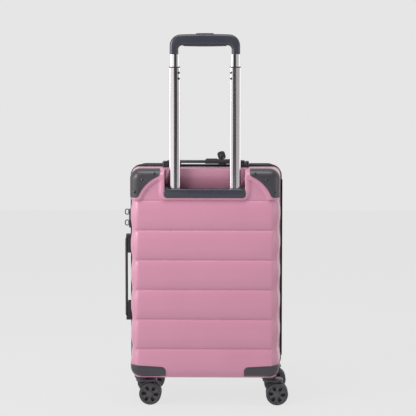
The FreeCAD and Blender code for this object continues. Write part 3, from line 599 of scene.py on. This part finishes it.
def along_rim(distance, inset):
    """A point at a distance along the rim's outline, and the angle that it runs at."""
    corner = RIM_CORNER - inset
    half, low, high = rim_high.x - inset, rim_low.z + inset, rim_high.z - inset
    runs = (2 * (half - corner), high - low - 2 * corner) * 2
    starts = ((-half + corner, low), (half, low + corner), (half - corner, high),
              (-half, high - corner))
    for side, (run, start) in enumerate(zip(runs, starts)):
        angle = side * math.pi / 2
        ahead = Vector((math.cos(angle), math.sin(angle)))
        left = Vector((-ahead.y, ahead.x))
        if distance <= run:
            return Vector(start) + ahead * distance, angle
        distance -= run
        bend = corner * math.pi / 2
        if distance <= bend:
            turn = distance / corner
            centre = Vector(start) + ahead * run + left * corner
            return centre + (ahead * math.sin(turn) - left * math.cos(turn)) * corner, \
                angle + turn
        distance -= bend
    return along_rim(0, inset)


def rim_length(inset):
    corner = RIM_CORNER - inset
    return 2 * (rim_high.x - rim_low.x - 2 * inset + rim_high.z - rim_low.z - 2 * inset
                - 4 * corner) + 2 * math.pi * corner


def zip_row(node, shift):
    """A row of moulded teeth round the case."""
    low, high = span(node)
    inset = 2.8
    length = rim_length(inset)
    count = round(length / 3)
    tooth = block((-0.95, low.y, -1.75), (0.95, high.y, 1.75))
    round_edges(tooth, 0.35, 1)
    mould = bpy.data.meshes.new("tooth")
    tooth.to_mesh(mould)
    tooth.free()
    row = bmesh.new()
    for number in range(count):
        point, angle = along_rim((number + shift) * length / count, inset)
        start = len(row.verts)
        row.from_mesh(mould)
        row.verts.ensure_lookup_table()
        turn = Matrix.Translation((point.x, 0, point.y)) @ Matrix.Rotation(-angle, 4, "Y")
        bmesh.ops.transform(row, matrix=turn, verts=row.verts[start:])
    bpy.data.meshes.remove(mould)
    return row


for end, shift in (("rear", 0.0), ("front", 0.5)):
    low, high = span(f"{end}_rim")
    finish_piece(slab(rim_corners(0), facing_y, low.y, high.y, 1.3, 8, 10), f"{end}_rim_band",
                 f"{end}_case", "rim", (f"{end}_rim",))
    finish_piece(zip_row(f"{end}_zip_teeth", shift), f"{end}_zip_row", f"{end}_case", "teeth",
                 (f"{end}_zip_teeth",))


# ---- corner guards, wheel housings and screws ---------------------------------------------------

def screw_head(centre, axis, radius):
    """A domed head with a round driver well."""
    profile = ((0, -0.6), (radius, -0.6), (radius, 0.05), (radius * 0.82, 0.42),
               (radius * 0.5, 0.55), (radius * 0.42, -0.25), (0, -0.25))
    return lathe(profile, Vector(centre), axis, 28)


SCREWS = ((112.5, 527), (138.5, 512.5), (156, 485))
GUARD_CORNERS, GUARD_ROUND = ((100.4, 521.5), (149, 473)), 5
for side, end in ENDS:
    for hand, name in HANDS:
        guard = copy_node(f"corner_guard_{end}_{name}", 0.9)
        for x, z in GUARD_CORNERS:
            soften_corner(guard, hand * x, z, hand, 1, GUARD_ROUND)
        finish_piece(guard, f"{end}_guard_{name}", f"{end}_case", "trim",
                     (f"corner_guard_{end}_{name}",), 30)
        finish_piece(copy_node(f"wheel_housing_{end}_{name}", 1.2), f"{end}_housing_{name}",
                     f"{end}_case", "trim", (f"wheel_housing_{end}_{name}",), 30)
    heads = [screw_head((hand * x, side * 115.0, z), Y * side, 3)
             for hand, name in HANDS for x, z in SCREWS]
    node = "guard_screws_front"
    if side < 0:
        node = "rear_screws"
        heads += [screw_head((x, -92, 496.1), Z, 2.5) for x in (-86, 86)]
    finish_piece(join(*heads), f"{end}_screw_heads", f"{end}_case", "screw",
                 (node,))


# ---- pull handle --------------------------------------------------------------------------------

def tube_ring(node, hand, fall, wall, material, body):
    """A tube whose long faces have a flat band, nearer to its inner side, between two slopes."""
    low, high = span(node)
    centre = (low + high) / 2
    half, deep = (high.x - low.x) / 2, (high.y - low.y) / 2
    corner, soft = min(half, deep) * 0.4, half * 0.16
    front = ((-half, -deep + fall, corner), (-half * 0.42, -deep, soft), (half * 0.12, -deep, soft),
             (half, -deep + fall * 1.3, corner))
    points = list(front) + [(x, -y, reach) for x, y, reach in reversed(front)]
    if hand < 0:
        points = [(-x, y, reach) for x, y, reach in reversed(points)]
    bm = slab(points, facing_z, low.z, high.z, 0, wall)
    moved(bm, Matrix.Translation((centre.x, centre.y, 0)))
    return finish_piece(bm, f"{node}_skin", body, material, (node,), 30)


DOT_X, DOT_Y, DOT_HEIGHTS, DOT_LEAN = 58.2, -97.9, (737, 750), 0.35


def lock_dots(hand):
    """The two dark lock pins on the inner side of a middle tube."""
    axis = Vector((-hand * DOT_LEAN, -1, 0)).normalized()
    return join(*[lathe(((0, -0.9), (2.8, -0.9), (2.8, 0.2), (1.8, 0.6), (0, 0.6)),
                        Vector((hand * DOT_X, DOT_Y, z)), axis, 28) for z in DOT_HEIGHTS])


def build_tubes():
    """Three sizes of tube on each side, the lock pins and the dark collars."""
    for hand, name in HANDS:
        tube_ring(f"outer_tube_{name}", hand, 1.2, 1.1, "tube", "rear_case")
        tube_ring(f"middle_tube_{name}", hand, 1.2, 1.5, "tube", "middle_stage")
        tube_ring(f"inner_tube_{name}", hand, 0.9, 1.2, "tube_inner", "upper_stage")
        finish_piece(lock_dots(hand), f"lock_dots_{name}", "middle_stage", "black")
    low, high = span("middle_collars")
    rings = []
    for hand, name in HANDS:
        tube_low, tube_high = span(f"middle_tube_{name}")
        rings.append(slab(rectangle(tube_low.x - 0.4, tube_high.x + 0.4, tube_low.y - 0.4,
                                    tube_high.y + 0.4, 5.2),
                          facing_z, low.z, high.z - 0.4, 0.6, 2.2))
    finish_piece(join(*rings), "tube_collars", "middle_stage", "black",
                 ("middle_collars",))


def build_grip():
    """The arch with its button well, the pad under it, and the button."""
    low, high = span("grip_shell")
    half, leg, top = high.x, 19, high.z
    inner = half - leg
    corners = ((-half, low.z, 0), (-inner, low.z, 0), (-inner, 810.5, 9), (inner, 810.5, 9),
               (inner, low.z, 0), (half, low.z, 0), (half, top - 2, 24), (0, top + 0.6, 46),
               (-half, top - 2, 24))
    bm = slab(corners, facing_y, low.y, high.y, 0, 0, 8)
    well_x, well_y, well_floor = 19.9, 5.9, 822
    centre = (low.y + high.y) / 2
    for place, normal in ((X * well_x, X), (X * -well_x, X), (Y * (centre + well_y), Y),
                          (Y * (centre - well_y), Y)):
        tops = [face for face in bm.faces if face.calc_center_median().z > top - 6]
        geometry = {item for face in tops for item in (*face.verts, *face.edges, face)}
        bmesh.ops.bisect_plane(bm, geom=list(geometry), dist=0.0001, plane_co=place,
                               plane_no=normal)
    well = [face for face in bm.faces if face.normal.z > 0.9
            and abs(face.calc_center_median().x) < well_x
            and abs(face.calc_center_median().y - centre) < well_y
            and face.calc_center_median().z > top - 4]
    sunk = bmesh.ops.extrude_face_region(bm, geom=well)["geom"]
    for item in sunk:
        if isinstance(item, bmesh.types.BMVert):
            item.co.z = well_floor
    bmesh.ops.delete(bm, geom=[face for face in well if face.is_valid], context="FACES")

    def outer_edge(edge):
        ends = [vert.co for vert in edge.verts]
        if all(point.z < low.z + 0.1 for point in ends):
            return False
        flat = any(all(abs(point.y - y) < 0.01 for point in ends) for y in (low.y, high.y))
        return flat and len(edge.link_faces) == 2 and edge.calc_face_angle(0) > 1

    round_edges(bm, 6.5, 6, outer_edge)
    finish_piece(bm, "grip_arch", "upper_stage", "grip", ("grip_shell",), 30)
    pad_low, pad_high = span("grip_underside")
    pad = slab(((pad_low.x, 811, 1), (pad_low.x, 809.2, 1), (0, pad_low.z - 0.2, 44),
                (pad_high.x, 809.2, 1), (pad_high.x, 811, 1)),
               facing_y, pad_low.y - 1.2, pad_high.y + 1.2, 1.6)
    finish_piece(pad, "grip_pad", "upper_stage", "pad", ("grip_underside",))
    low, high = span("release_button")
    button = rounded_block(low, high, Z, 3, 1.2)
    marks = [rounded_block((x - 0.6, low.y + 2.5, high.z - 0.4), (x + 0.6, high.y - 2.5,
                                                                 high.z + 0.35), Z, 0.5, 0.2, 3)
             for x in (-4, 0, 4)]
    finish_piece(join(button, *marks), "push_button", "release_button", "black",
                 ("release_button",))


def build_tray():
    """The tray in the recess, with a round-cornered flange over the shell's edge."""
    bm = copy_node("handle_tray")
    along, sharp = runs_along(Y), sharper_than(50)
    round_edges(bm, 6.5, 6, lambda line: along(line) and sharp(line)
                and all(vert.co.z < RECESS_FLOOR + 5 for vert in line.verts))
    round_edges(bm, 1.4, 3, sharper_than(35))
    half, foot, head = RECESS_HALF + 1.5, RECESS_FLOOR - 3, span("handle_tray")[1].z - 4
    flange = slab(rectangle(-half, half, foot, head, 7.5), facing_y, shell_low.y - 3.4,
                  shell_low.y + 4, 2.6)
    finish_piece(join(bm, flange), "recess_tray", "rear_case", "grip",
                 ("handle_tray",), 30)


build_tubes()
build_grip()
build_tray()


# ---- carry handles: drawn along X on a wall at z = 0 --------------------------------------------

def stitch_row(start, end, level, gap=3.6):
    """A line of short thread stitches between two points on a flat surface."""
    start, end = Vector(start), Vector(end)
    count = max(1, int((end - start).length / gap))
    ahead = (end - start).normalized()
    turn = Matrix.Rotation(math.atan2(ahead.y, ahead.x), 4, "Z")
    stitches = []
    for number in range(count):
        stitch = block((-1.1, -0.32, -0.25), (1.1, 0.32, 0.22))
        round_edges(stitch, 0.2, 1)
        middle_point = start + (end - start) * (number + 0.5) / count
        stitches.append(moved(stitch, Matrix.Translation((*middle_point, level)) @ turn))
    return join(*stitches)


def carry_bracket(hand):
    """A cradle: base, two rails and a raised end."""
    parts = [
        rounded_block((57, -12, -1.5), (90.5, 12, 1.0), Z, 1, 0.2, 2),
        rounded_block((57, 11, -1.5), (92, 16, 9.3), Z, 1.8, 1.0),
        rounded_block((57, -16, -1.5), (92, -11, 9.3), Z, 1.8, 1.0),
        rounded_block((90, -16, -1.5), (99, 16, 13.4), Z, 3.8, 1.8),
    ]
    bracket = join(*parts)
    if hand < 0:
        moved(bracket, Matrix.Rotation(math.pi, 4, "Z"))
    return bracket


def carry_handle(name, place, skip=()):
    """Brackets, strap and stitching of one carry handle."""
    brackets = join(carry_bracket(1), carry_bracket(-1))
    finish_piece(moved(brackets, place), f"{name}_cradles", "rear_case", "black",
                 (f"{name}_brackets",))
    strap = slab(rectangle(-89.4, 89.4, -14, 14, 6), facing_z, 9.6, 15.1, 1.7)
    legs = [rounded_block((low, -10.6, 1.4), (low + 25, 10.6, 10.5), Z, 1, 0.3, 3)
            for low in (62, -87)]
    finish_piece(moved(join(strap, *legs), place), f"{name}_band", name, "strap",
                 (f"{name}_strap",))
    runs = []
    for side in (-10.8, 10.8):
        edges = [-84, *skip, 84]
        runs += [((low, side), (high, side)) for low, high in zip(edges[::2], edges[1::2])]
    threads = join(*[stitch_row(start, end, 15.1) for start, end in runs])
    finish_piece(moved(threads, place), f"{name}_stitches", name, "thread")


# the wall's draft, how far back both handles sit, and where the side wall is there
DRAFT = math.atan2(shell_high.x - FACE_HALF, shell_high.y - shell_low.y)
HANDLE_Y, SIDE_WALL = -9, -170.65
TAG_GAP = (-4, 58)
side_place = Matrix.Translation((SIDE_WALL, HANDLE_Y, middle("side_handle_strap").z)) \
    @ Matrix.Rotation(DRAFT, 4, "Z") @ Matrix.Rotation(-math.pi / 2, 4, "Y")
carry_handle("top_handle", Matrix.Translation((0, HANDLE_Y, SHELL_TOP)), TAG_GAP)
carry_handle("side_handle", side_place)


# ---- luggage tag --------------------------------------------------------------------------------

def build_tag():
    """A sleeve round the carry strap, and the leaning tab with its metal edging and studs."""
    low, high = span("tag_loop")
    sleeve = slab(rectangle(low.y, high.y, low.z, 552.5, 2.2), facing_x, low.x, high.x, 0.5, 1.45)
    flap = rounded_block((1, -21, 552.2), (27, -3, 554.3), Z, 4, 0.7)
    hook = rounded_block((29, -17, 541.2), (47, -1, 543.6), Z, 3, 0.6)
    finish_piece(join(sleeve, flap, hook), "tag_sleeve", "top_handle", "leather",
                 ("tag_loop",))
    y, base, tip = -9, 554.7, 570.5
    lean = Matrix.Translation((38, y, base)) @ Matrix.Rotation(math.radians(-16), 4, "Y") \
        @ Matrix.Translation((-38, -y, -base))
    tab = slab(((30.2, base, 1), (45.8, base, 1), (46.2, tip, 6), (29.8, tip, 6)),
               facing_y, y - 1.5, y + 1.5, 1.0)
    finish_piece(moved(tab, lean), "tag_tab", "luggage_tag", "leather",
                 ("tag_strap",))
    edging = slab(((29.4, base + 0.6, 1), (46.6, base + 0.6, 1), (47.0, tip + 0.8, 6.5),
                   (29.0, tip + 0.8, 6.5)), facing_y, y - 0.9, y + 0.9, 0.35, 1.4)
    barrel = lathe(((0, -7.4), (1.5, -7.4), (1.9, -6.8), (1.9, 6.8), (1.5, 7.4), (0, 7.4)),
                   Vector((38, y, base)), X, 24)
    studs = [lathe(((0, 0), (2.7, 0), (2.6, 0.5), (1.7, 1.1), (0, 1.4)),
                   Vector((38, y + side * 1.4, base + 6)), Y * side, 28) for side in (-1, 1)]
    finish_piece(moved(join(edging, barrel, *studs), lean), "tag_metalwork", "luggage_tag",
                 "screw")


build_tag()


# ---- zip sliders, pullers and lock --------------------------------------------------------------

PULL_LONGER, PULL_CORNER, PULL_BAND = 3.2, 4.6, 2.4


def build_lock():
    """Zip sliders and their ring pulls, the lock's case, its button and its three dials."""
    for name in ("upper", "lower"):
        node = f"zip_slider_{name}"
        finish_piece(copy_node(node, 0.5, 2), f"{node}_metal", node, "chrome",
                     (node,), 30)
        node = f"zip_puller_{name}"
        low, high = span(node)
        outline = rectangle(low.x, high.x, low.z - PULL_LONGER, high.z + PULL_LONGER, PULL_CORNER)
        ring = slab(outline, facing_y, low.y, high.y, 0.45, PULL_BAND)
        finish_piece(ring, f"{node}_metal", node, "chrome", (node,), 30)
    finish_piece(copy_node("lock_body", 0.8), "lock_case", "rear_case", "black",
                 ("lock_body",), 30)
    low, high = span("lock_button")
    finish_piece(rounded_block(low, high, X, 1.2, 0.5), "lock_push", "lock_button", "chrome",
                 ("lock_button",))
    for number in (1, 2, 3):
        node = f"lock_dial_{number}"
        low, high = span(node)
        centre, thick = (low + high) / 2, (high.z - low.z) / 2
        profile = ((1.1, -thick), (5.2, -thick), (5.7, -thick + 0.5), (5.7, thick - 0.5),
                   (5.2, thick), (1.1, thick))
        dial = lathe(profile, centre, Z, 40)
        teeth = [moved(rounded_block((5.4, -0.45, -thick + 0.5), (6.0, 0.45, thick - 0.5), X, 0.2,
                                     0, 2), Matrix.Translation(centre)
                       @ Matrix.Rotation(turn * math.pi / 10, 4, "Z")) for turn in range(20)]
        finish_piece(join(dial, *teeth), f"dial_wheel_{number}", node, "hub", (node,))


build_lock()


# ---- casters ------------------------------------------------------------------------------------

TRAIL, WHEEL_RADIUS = 19.2, 25
CASTER_X, CASTER_Y, WHEEL_GAP = 143.7, 77.0, 5.5
# the hub's disc: its rings, its windows' middle radius, and half a window round and out
DISC_RINGS = (3.1, 6.8, 9.9, 11.8, 13.8, 15.8, 17.7, 20.7)
DISC_BACK, DISC_DEEP = 1.5, 8.3
WINDOW_RADIUS, WINDOW_ROUND, WINDOW_OUT, WINDOW_TURN = 13.8, 3.9, 4.2, 5
# the mudguard: its inner and outer radius, half its width, where it starts and how far it runs
MUD_IN, MUD_OUT, MUD_HALF, MUD_START, MUD_RUN = 26.6, 28.6, 17, -84, -64


def hub_disc():
    """A spoked disc: a radial line spun round the axle, six windows cut, then given depth."""
    bm = bmesh.new()
    verts = [bm.verts.new((radius, DISC_BACK, 0)) for radius in DISC_RINGS]
    edges = [bm.edges.new(pair) for pair in zip(verts, verts[1:])]
    bmesh.ops.spin(bm, geom=verts + edges, cent=(0, DISC_BACK, 0), axis=Y, angle=2 * math.pi,
                   steps=120, use_merge=True)
    windows = []
    for face in bm.faces:
        point = face.calc_center_median()
        turn = (math.degrees(math.atan2(point.z, point.x)) + WINDOW_TURN) % 60
        radius = math.hypot(point.x, point.z)
        aside = math.radians(min(turn, 60 - turn)) * radius
        if math.hypot(aside / WINDOW_ROUND, (radius - WINDOW_RADIUS) / WINDOW_OUT) < 1:
            windows.append(face)
    bmesh.ops.delete(bm, geom=windows, context="FACES")
    rims = [vert for vert in bm.verts if vert.is_boundary
            and 8 < math.hypot(vert.co.x, vert.co.z) < 19]
    for _ in range(2):
        bmesh.ops.smooth_vert(bm, verts=rims, factor=0.5, use_axis_x=True, use_axis_z=True)
    draw_out(bm, Y * DISC_DEEP)
    return round_edges(bm, 0.4, 2, sharper_than(60))


def wheel_pieces(centre, outward, name, node):
    """A wheel's tyre and its hub; outward is +1 or -1 along Y."""
    axis = Y * outward
    tyre = lathe(((20.8, 0.4), (23.4, 0.25), (24.5, 0.9), (25, 2.4), (25, 10.1), (24.5, 11.6),
                  (23.4, 12.25), (20.8, 12.1)), centre, axis, 72)
    rim = lathe(((18.9, 0.3), (20.85, 0.3), (20.85, 12.0), (20.4, 12.35), (19.6, 12.1),
                 (18.9, 9.9)), centre, axis, 72)
    boss = lathe(((3.1, 0.2), (6.9, 0.2), (6.9, 11.6), (6.3, 12.3), (3.1, 12.4)), centre, axis, 48)
    back = lathe(((3.1, 0.4), (20.7, 0.4), (20.7, 1.3), (3.1, 1.3)), centre, axis, 48)
    cap = lathe(((0, 12.0), (4.9, 12.0), (4.8, 12.5), (3.2, 12.9), (0, 13.0)), centre, axis, 40)
    flip = Matrix.Identity(4) if outward > 0 else Matrix.Scale(-1, 4, Y)
    disc = moved(hub_disc(), Matrix.Translation(centre) @ flip)
    finish_piece(tyre, f"{name}_tyre", node, "tyre", (node,))
    finish_piece(join(rim, boss, back, cap, disc), f"{name}_hub", node, "hub",
                 (), 30)


def fork_parts(x, y):
    """Web, hood, mudguard, turntable and axle of one caster."""
    web = slab(((-10, 58, 1), (-9.5, 40, 8), (11, 17, 9), (27, 17, 8), (30, 31, 8), (27, 58, 1)),
               facing_y, -4.8, 4.8, 1.4)
    hood = rounded_block((-13, -17, 52.5), (33.2, 17, 58.5), Z, 11, 2.4)
    turntable = lathe(((4.2, 58), (15, 58), (15, 60.6), (14.4, 61.2), (4.2, 61.2)), Vector(),
                      Z, 48)
    pin = lathe(((0, 58), (4, 58), (4, 76), (3.4, 77), (0, 77)), Vector(), Z, 32)
    axle = lathe(((0, -17.5), (2.95, -17.5), (2.95, 17.5), (0, 17.5)),
                 Vector((TRAIL, 0, WHEEL_RADIUS)), Y, 28)
    guard = bmesh.new()
    corners = [guard.verts.new((TRAIL + radius, across, WHEEL_RADIUS))
               for radius, across in ((MUD_IN, -MUD_HALF), (MUD_OUT, -MUD_HALF),
                                      (MUD_OUT, MUD_HALF), (MUD_IN, MUD_HALF))]
    edges = [guard.edges.new(pair) for pair in zip(corners, corners[1:] + corners[:1])]
    bmesh.ops.rotate(guard, cent=(TRAIL, 0, WHEEL_RADIUS), verts=corners,
                     matrix=Matrix.Rotation(math.radians(MUD_START), 3, "Y"))
    bmesh.ops.spin(guard, geom=corners + edges, cent=(TRAIL, 0, WHEEL_RADIUS), axis=Y,
                   angle=math.radians(MUD_RUN), steps=18)
    bmesh.ops.holes_fill(guard, edges=[edge for edge in guard.edges if edge.is_boundary], sides=0)
    bmesh.ops.recalc_face_normals(guard, faces=guard.faces)
    round_edges(guard, 0.7, 2, sharper_than(60))
    return moved(join(web, hood, turntable, pin, axle, guard), Matrix.Translation((x, y, 0)))


def build_casters():
    """Four forks with two wheels each."""
    for side, end in ENDS:
        for hand, name in HANDS:
            x, y = hand * CASTER_X, side * CASTER_Y
            caster = f"caster_{end}_{name}"
            finish_piece(fork_parts(x, y), f"fork_{end}_{name}", caster, "trim",
                         (f"caster_fork_{end}_{name}",), 30)
            for label, outward in (("outer", side), ("inner", -side)):
                node = f"wheel_{end}_{name}_{label}"
                centre = Vector((x + TRAIL, y + outward * WHEEL_GAP, WHEEL_RADIUS))
                wheel_pieces(centre, outward, f"roller_{end}_{name}_{label}", node)


build_casters()


# ---- camera, light and floor --------------------------------------------------------------------

BACKDROP = 0.79
# brightness of the studio's walls from far left, past the viewer, to far right
WALLS = ((0.0, 4.0), (0.035, 4.0), (0.07, 0.95), (0.375, 1.0), (0.42, 0.05), (0.565, 0.03),
         (0.61, 0.50), (0.92, 0.60), (0.965, 3.0), (1.0, 3.0))
OVERHEAD = 0.34
# name, place, point aimed at, size and power of each soft lamp
LAMPS = (("key_light", (-1.5, -1.25, 1.2), (0, -0.1, 0.35), (0.9, 0.9), 26),
         ("top_light", (0, -0.75, 2.4), (0, -0.05, 0.4), (1.6, 0.8), 22))
FLOOR_HALF, FLOOR_SHADE, FLOOR_GLOW = 4.5, 0.06, 0.728
LENS, SENSOR, LENS_SHIFT = 117.3, 36, -0.06
VIEWER = (0.0733, -3.115, 0.7336)
AIMED_DOWN, TURNED = 4.34, 1.26


def light_scene():
    """A bright wall on the left, a greyer one on the right, a dark gap behind the viewer and two
    soft lamps. What shows behind the case is a plain backdrop."""
    scene = bpy.context.scene
    scene.view_settings.view_transform = "Standard"
    world = bpy.data.worlds.new("studio")
    world.use_nodes = True
    tree = world.node_tree
    direction = tree.nodes.new("ShaderNodeTexCoord").outputs["Generated"]
    parts = tree.nodes.new("ShaderNodeSeparateXYZ")
    tree.links.new(direction, parts.inputs["Vector"])
    walls = tree.nodes.new("ShaderNodeValToRGB")
    while len(walls.color_ramp.elements) < len(WALLS):
        walls.color_ramp.elements.new(0.5)
    for element, (place, level) in zip(walls.color_ramp.elements, WALLS):
        element.position = place
        element.color = (level, level, level, 1)
    tree.links.new(spread(tree, parts.outputs["X"], 0, 1, -1, 1), walls.inputs["Fac"])

    def shade_over(under, level, factor):
        mix = tree.nodes.new("ShaderNodeMix")
        mix.data_type = "RGBA"
        mix.inputs["B"].default_value = (level, level, level, 1)
        tree.links.new(under, mix.inputs["A"])
        tree.links.new(factor, mix.inputs["Factor"])
        return mix.outputs["Result"]

    above = spread(tree, parts.outputs["Z"], 0, 1, 0.14, 0.3)
    light = shade_over(walls.outputs["Color"], OVERHEAD, above)
    light = shade_over(light, BACKDROP, spread(tree, parts.outputs["Y"], 0, 1, -0.3, 0.2))
    seen = tree.nodes.new("ShaderNodeLightPath").outputs["Is Camera Ray"]
    light = shade_over(light, BACKDROP, seen)
    tree.links.new(light, tree.nodes["Background"].inputs["Color"])
    scene.world = world
    for name, place, target, size, power in LAMPS:
        lamp = bpy.data.lights.new(name, "AREA")
        lamp.shape = "RECTANGLE"
        lamp.size, lamp.size_y = size
        lamp.energy = power
        holder = bpy.data.objects.new(name, lamp)
        holder.location = place
        aim = Vector(target) - Vector(place)
        holder.rotation_euler = aim.to_track_quat("-Z", "Y").to_euler()
        scene.collection.objects.link(holder)


def lay_floor():
    """A wide pale floor, partly lit from below so that shadows on it stay light."""
    bm = bmesh.new()
    bmesh.ops.create_grid(bm, x_segments=8, y_segments=8, size=FLOOR_HALF)
    mesh = bpy.data.meshes.new("studio_floor")
    bm.to_mesh(mesh)
    bm.free()
    material, _, shader, _ = start_material("studio_paper")
    shader.inputs["Base Color"].default_value = (FLOOR_SHADE, FLOOR_SHADE, FLOOR_SHADE, 1)
    shader.inputs["Roughness"].default_value = 1.0
    shader.inputs["Specular IOR Level"].default_value = 0.0
    shader.inputs["Emission Color"].default_value = (1, 1, 1, 1)
    shader.inputs["Emission Strength"].default_value = FLOOR_GLOW
    mesh.materials.append(material)
    floor = bpy.data.objects.new("studio_floor", mesh)
    bpy.context.scene.collection.objects.link(floor)


def set_camera():
    """A long lens three metres behind the rear face, just below the grip, aimed a little down."""
    camera = bpy.data.cameras.new("camera")
    camera.lens = LENS
    camera.sensor_width = SENSOR
    camera.shift_y = LENS_SHIFT
    holder = bpy.data.objects.new("camera", camera)
    holder.location = VIEWER
    holder.rotation_euler = (math.radians(90 - AIMED_DOWN), 0, math.radians(TURNED))
    bpy.context.scene.collection.objects.link(holder)
    bpy.context.scene.camera = holder


# ---- linings, packing straps and hinge strip ----------------------------------------------------

LINING_HALF, LINING_OPEN, LINING_LOW, LINING_HIGH = 158.5, 168, 73, 529
LINING_FACES = ((-1, "rear", -80, 13, 0.29), (1, "front", 104, 25, 0.27))
FOLD_MOST, FOLD_OUT, FOLD_SINK = 0.002, 0.0006, 0.0008


def lining_skin(side, face_y, open_y, half_face, half_open, low_z, high_z):
    """The cloth tub that lines one shell; its folds are added afterwards by simulation."""
    depth = abs(open_y - face_y)
    low = Vector((-half_face, min(face_y, open_y), low_z))
    high = Vector((half_face, max(face_y, open_y), high_z))
    bm = block(low, high)
    cuts = [(X, X * x) for x in range(-160, 161, 10)]
    cuts += [(Z, Z * z) for z in range(int(low_z) + 8, int(high_z), 10)]
    cuts += [(Y, Y * (low.y + share * depth / 9)) for share in range(1, 9)]
    if side < 0:
        cuts += [(X, X * x) for x in (-98, -94.2, 94.2, 98)]
        cuts += [(Z, Z * z) for z in (467, 470.8)]
    cut_across(bm, cuts)
    opening = [face for face in bm.faces if abs(face.calc_center_median().y - open_y) < 0.01]
    bmesh.ops.delete(bm, geom=opening, context="FACES")
    inner_low, inner_high = low.copy(), high.copy()
    if side < 0:
        inner_high.y = 400
    else:
        inner_low.y = -400
    for vert in bm.verts:
        reach = 12
        core = Vector([min(max(vert.co[i], inner_low[i] + reach), inner_high[i] - reach)
                       for i in range(3)])
        point = core + (vert.co - core).normalized() * reach
        share = (point.y - face_y) / (open_y - face_y)
        point.x += math.copysign((half_open - half_face) * share
                                 * smoothly(abs(point.x), 90, 150), point.x)
        if side < 0 and abs(point.x) < 96 and point.z > 469:
            point.y = max(point.y, -69.4)
        vert.co = point
    return bm


def crease_cloth(piece, slack, most):
    """Let a lining's cloth, cut a little too large, buckle into folds, then keep them small."""
    rest = [vert.co.copy() for vert in piece.data.vertices]
    directions = [vert.normal.copy() for vert in piece.data.vertices]
    folded = [point.copy() for point in rest]
    held = piece.vertex_groups.new(name="held")
    ends = sorted(point.y for point in rest)
    edge = ends[-1] if abs(ends[-1]) < abs(ends[0]) else ends[0]
    held.add([i for i, point in enumerate(rest) if abs(point.y - edge) < 0.004], 1.0,
             "REPLACE")
    cloth = piece.modifiers.new("cloth", "CLOTH")
    cloth.settings.quality = 6
    cloth.settings.mass = 0.15
    cloth.settings.shrink_min = -slack
    cloth.settings.bending_stiffness = 2.0
    cloth.settings.vertex_group_mass = "held"
    cloth.settings.effector_weights.gravity = 0.2
    cloth.collision_settings.use_collision = False
    scene = bpy.context.scene
    for number in range(1, 21):
        scene.frame_set(number)
    shape = piece.evaluated_get(bpy.context.evaluated_depsgraph_get())
    folded = [vert.co.copy() for vert in shape.data.vertices]
    piece.modifiers.remove(cloth)
    scene.frame_set(1)
    steps = [(end - start).dot(outward) * 0.6 for start, end, outward in
             zip(rest, folded, directions)]
    for _ in range(2):
        sums, counts = steps[:], [1] * len(steps)
        for edge in piece.data.edges:
            first, second = edge.vertices
            sums[first] += steps[second]
            sums[second] += steps[first]
            counts[first] += 1
            counts[second] += 1
        steps = [total / count for total, count in zip(sums, counts)]
    for vert, start, step, outward in zip(piece.data.vertices, rest, steps, directions):
        fold = noise.noise(start * 28) * 0.0011
        vert.co = start + outward * max(-most, min(FOLD_OUT, step + fold - FOLD_SINK))


def build_linings():
    """A cloth tub in each shell."""
    for side, end, face_y, open_y, area in LINING_FACES:
        bm = lining_skin(side, face_y, open_y, LINING_HALF, LINING_OPEN, LINING_LOW, LINING_HIGH)
        lining = finish_piece(bm, f"{end}_lining_cloth", f"{end}_case", "lining",
                              (f"{end}_lining",), 60)
        crease_cloth(lining, 0.03, FOLD_MOST)
        thicken(lining, 1.0, False)


def strap_band(turn, y):
    """One packing strap with its stitched end patches."""
    strap = slab(rectangle(-168, 168, -12.5, 12.5, 2), facing_y, y, y + 1.5, 0.4)
    threads = [moved(stitch_row((-150, across), (150, across), 0, 5),
                     Matrix.Translation((0, y + 1.5, 0)) @ Matrix.Rotation(-math.pi / 2, 4, "X"))
               for across in (-9.5, 9.5)]
    spin = Matrix.Translation((0, 0, middle("packing_straps").z)) \
        @ Matrix.Rotation(math.radians(turn), 4, "Y")
    return moved(strap, spin), moved(join(*threads), spin)


def build_packing_straps():
    """Two crossed straps with a buckle over their middle."""
    low, high = span("packing_straps")
    first, first_threads = strap_band(42, low.y + 2.3)
    second, second_threads = strap_band(-42, low.y + 3.0)
    finish_piece(join(first, second), "packing_webbing", "rear_case", "webbing",
                 ("packing_straps",))
    finish_piece(join(first_threads, second_threads), "packing_stitches", "rear_case", "thread")
    low, high = span("strap_buckle")
    centre = (low + high) / 2
    frame_ring = slab(rectangle(low.x, high.x, low.z, high.z, 9), facing_y, low.y, high.y - 1.5,
                      1.2, 6)
    body = slab(rectangle(low.x + 5, high.x - 5, low.z + 5, high.z - 5, 6), facing_y, low.y,
                high.y - 2.4, 0.8)
    clips = [slab(rectangle(x - 6, x + 6, centre.z - 9, centre.z + 9, 4), facing_y, low.y + 1,
                  high.y, 1.4) for x in (low.x + 10, high.x - 10)]
    finish_piece(join(frame_ring, body, *clips), "buckle_moulding", "rear_case", "black",
                 ("strap_buckle",))


def build_hinge():
    """The cloth strip that joins the halves."""
    low, high = span("hinge_strip")
    bm = block(low, high)
    cuts = [(Y, Y * (low.y + share * (high.y - low.y) / 24)) for share in range(1, 24)]
    cuts += [(Z, Z * (low.z + share * (high.z - low.z) / 40)) for share in range(1, 40)]
    cut_across(bm, cuts)
    round_edges(bm, 0.5, 2, sharper_than(60))
    strip = finish_piece(bm, "hinge_cloth_strip", None, "hinge",
                         ("hinge_strip",))
    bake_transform(strip)


build_linings()
build_packing_straps()
build_hinge()


def surface_cad_nodes():
    """Procedural surfaces for the CAD nodes that still show."""
    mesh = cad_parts["tube_foot_bracket"].data
    mesh.materials.clear()
    mesh.materials.append(paint["trim"])


surface_cad_nodes()
light_scene()
lay_floor()
set_camera()
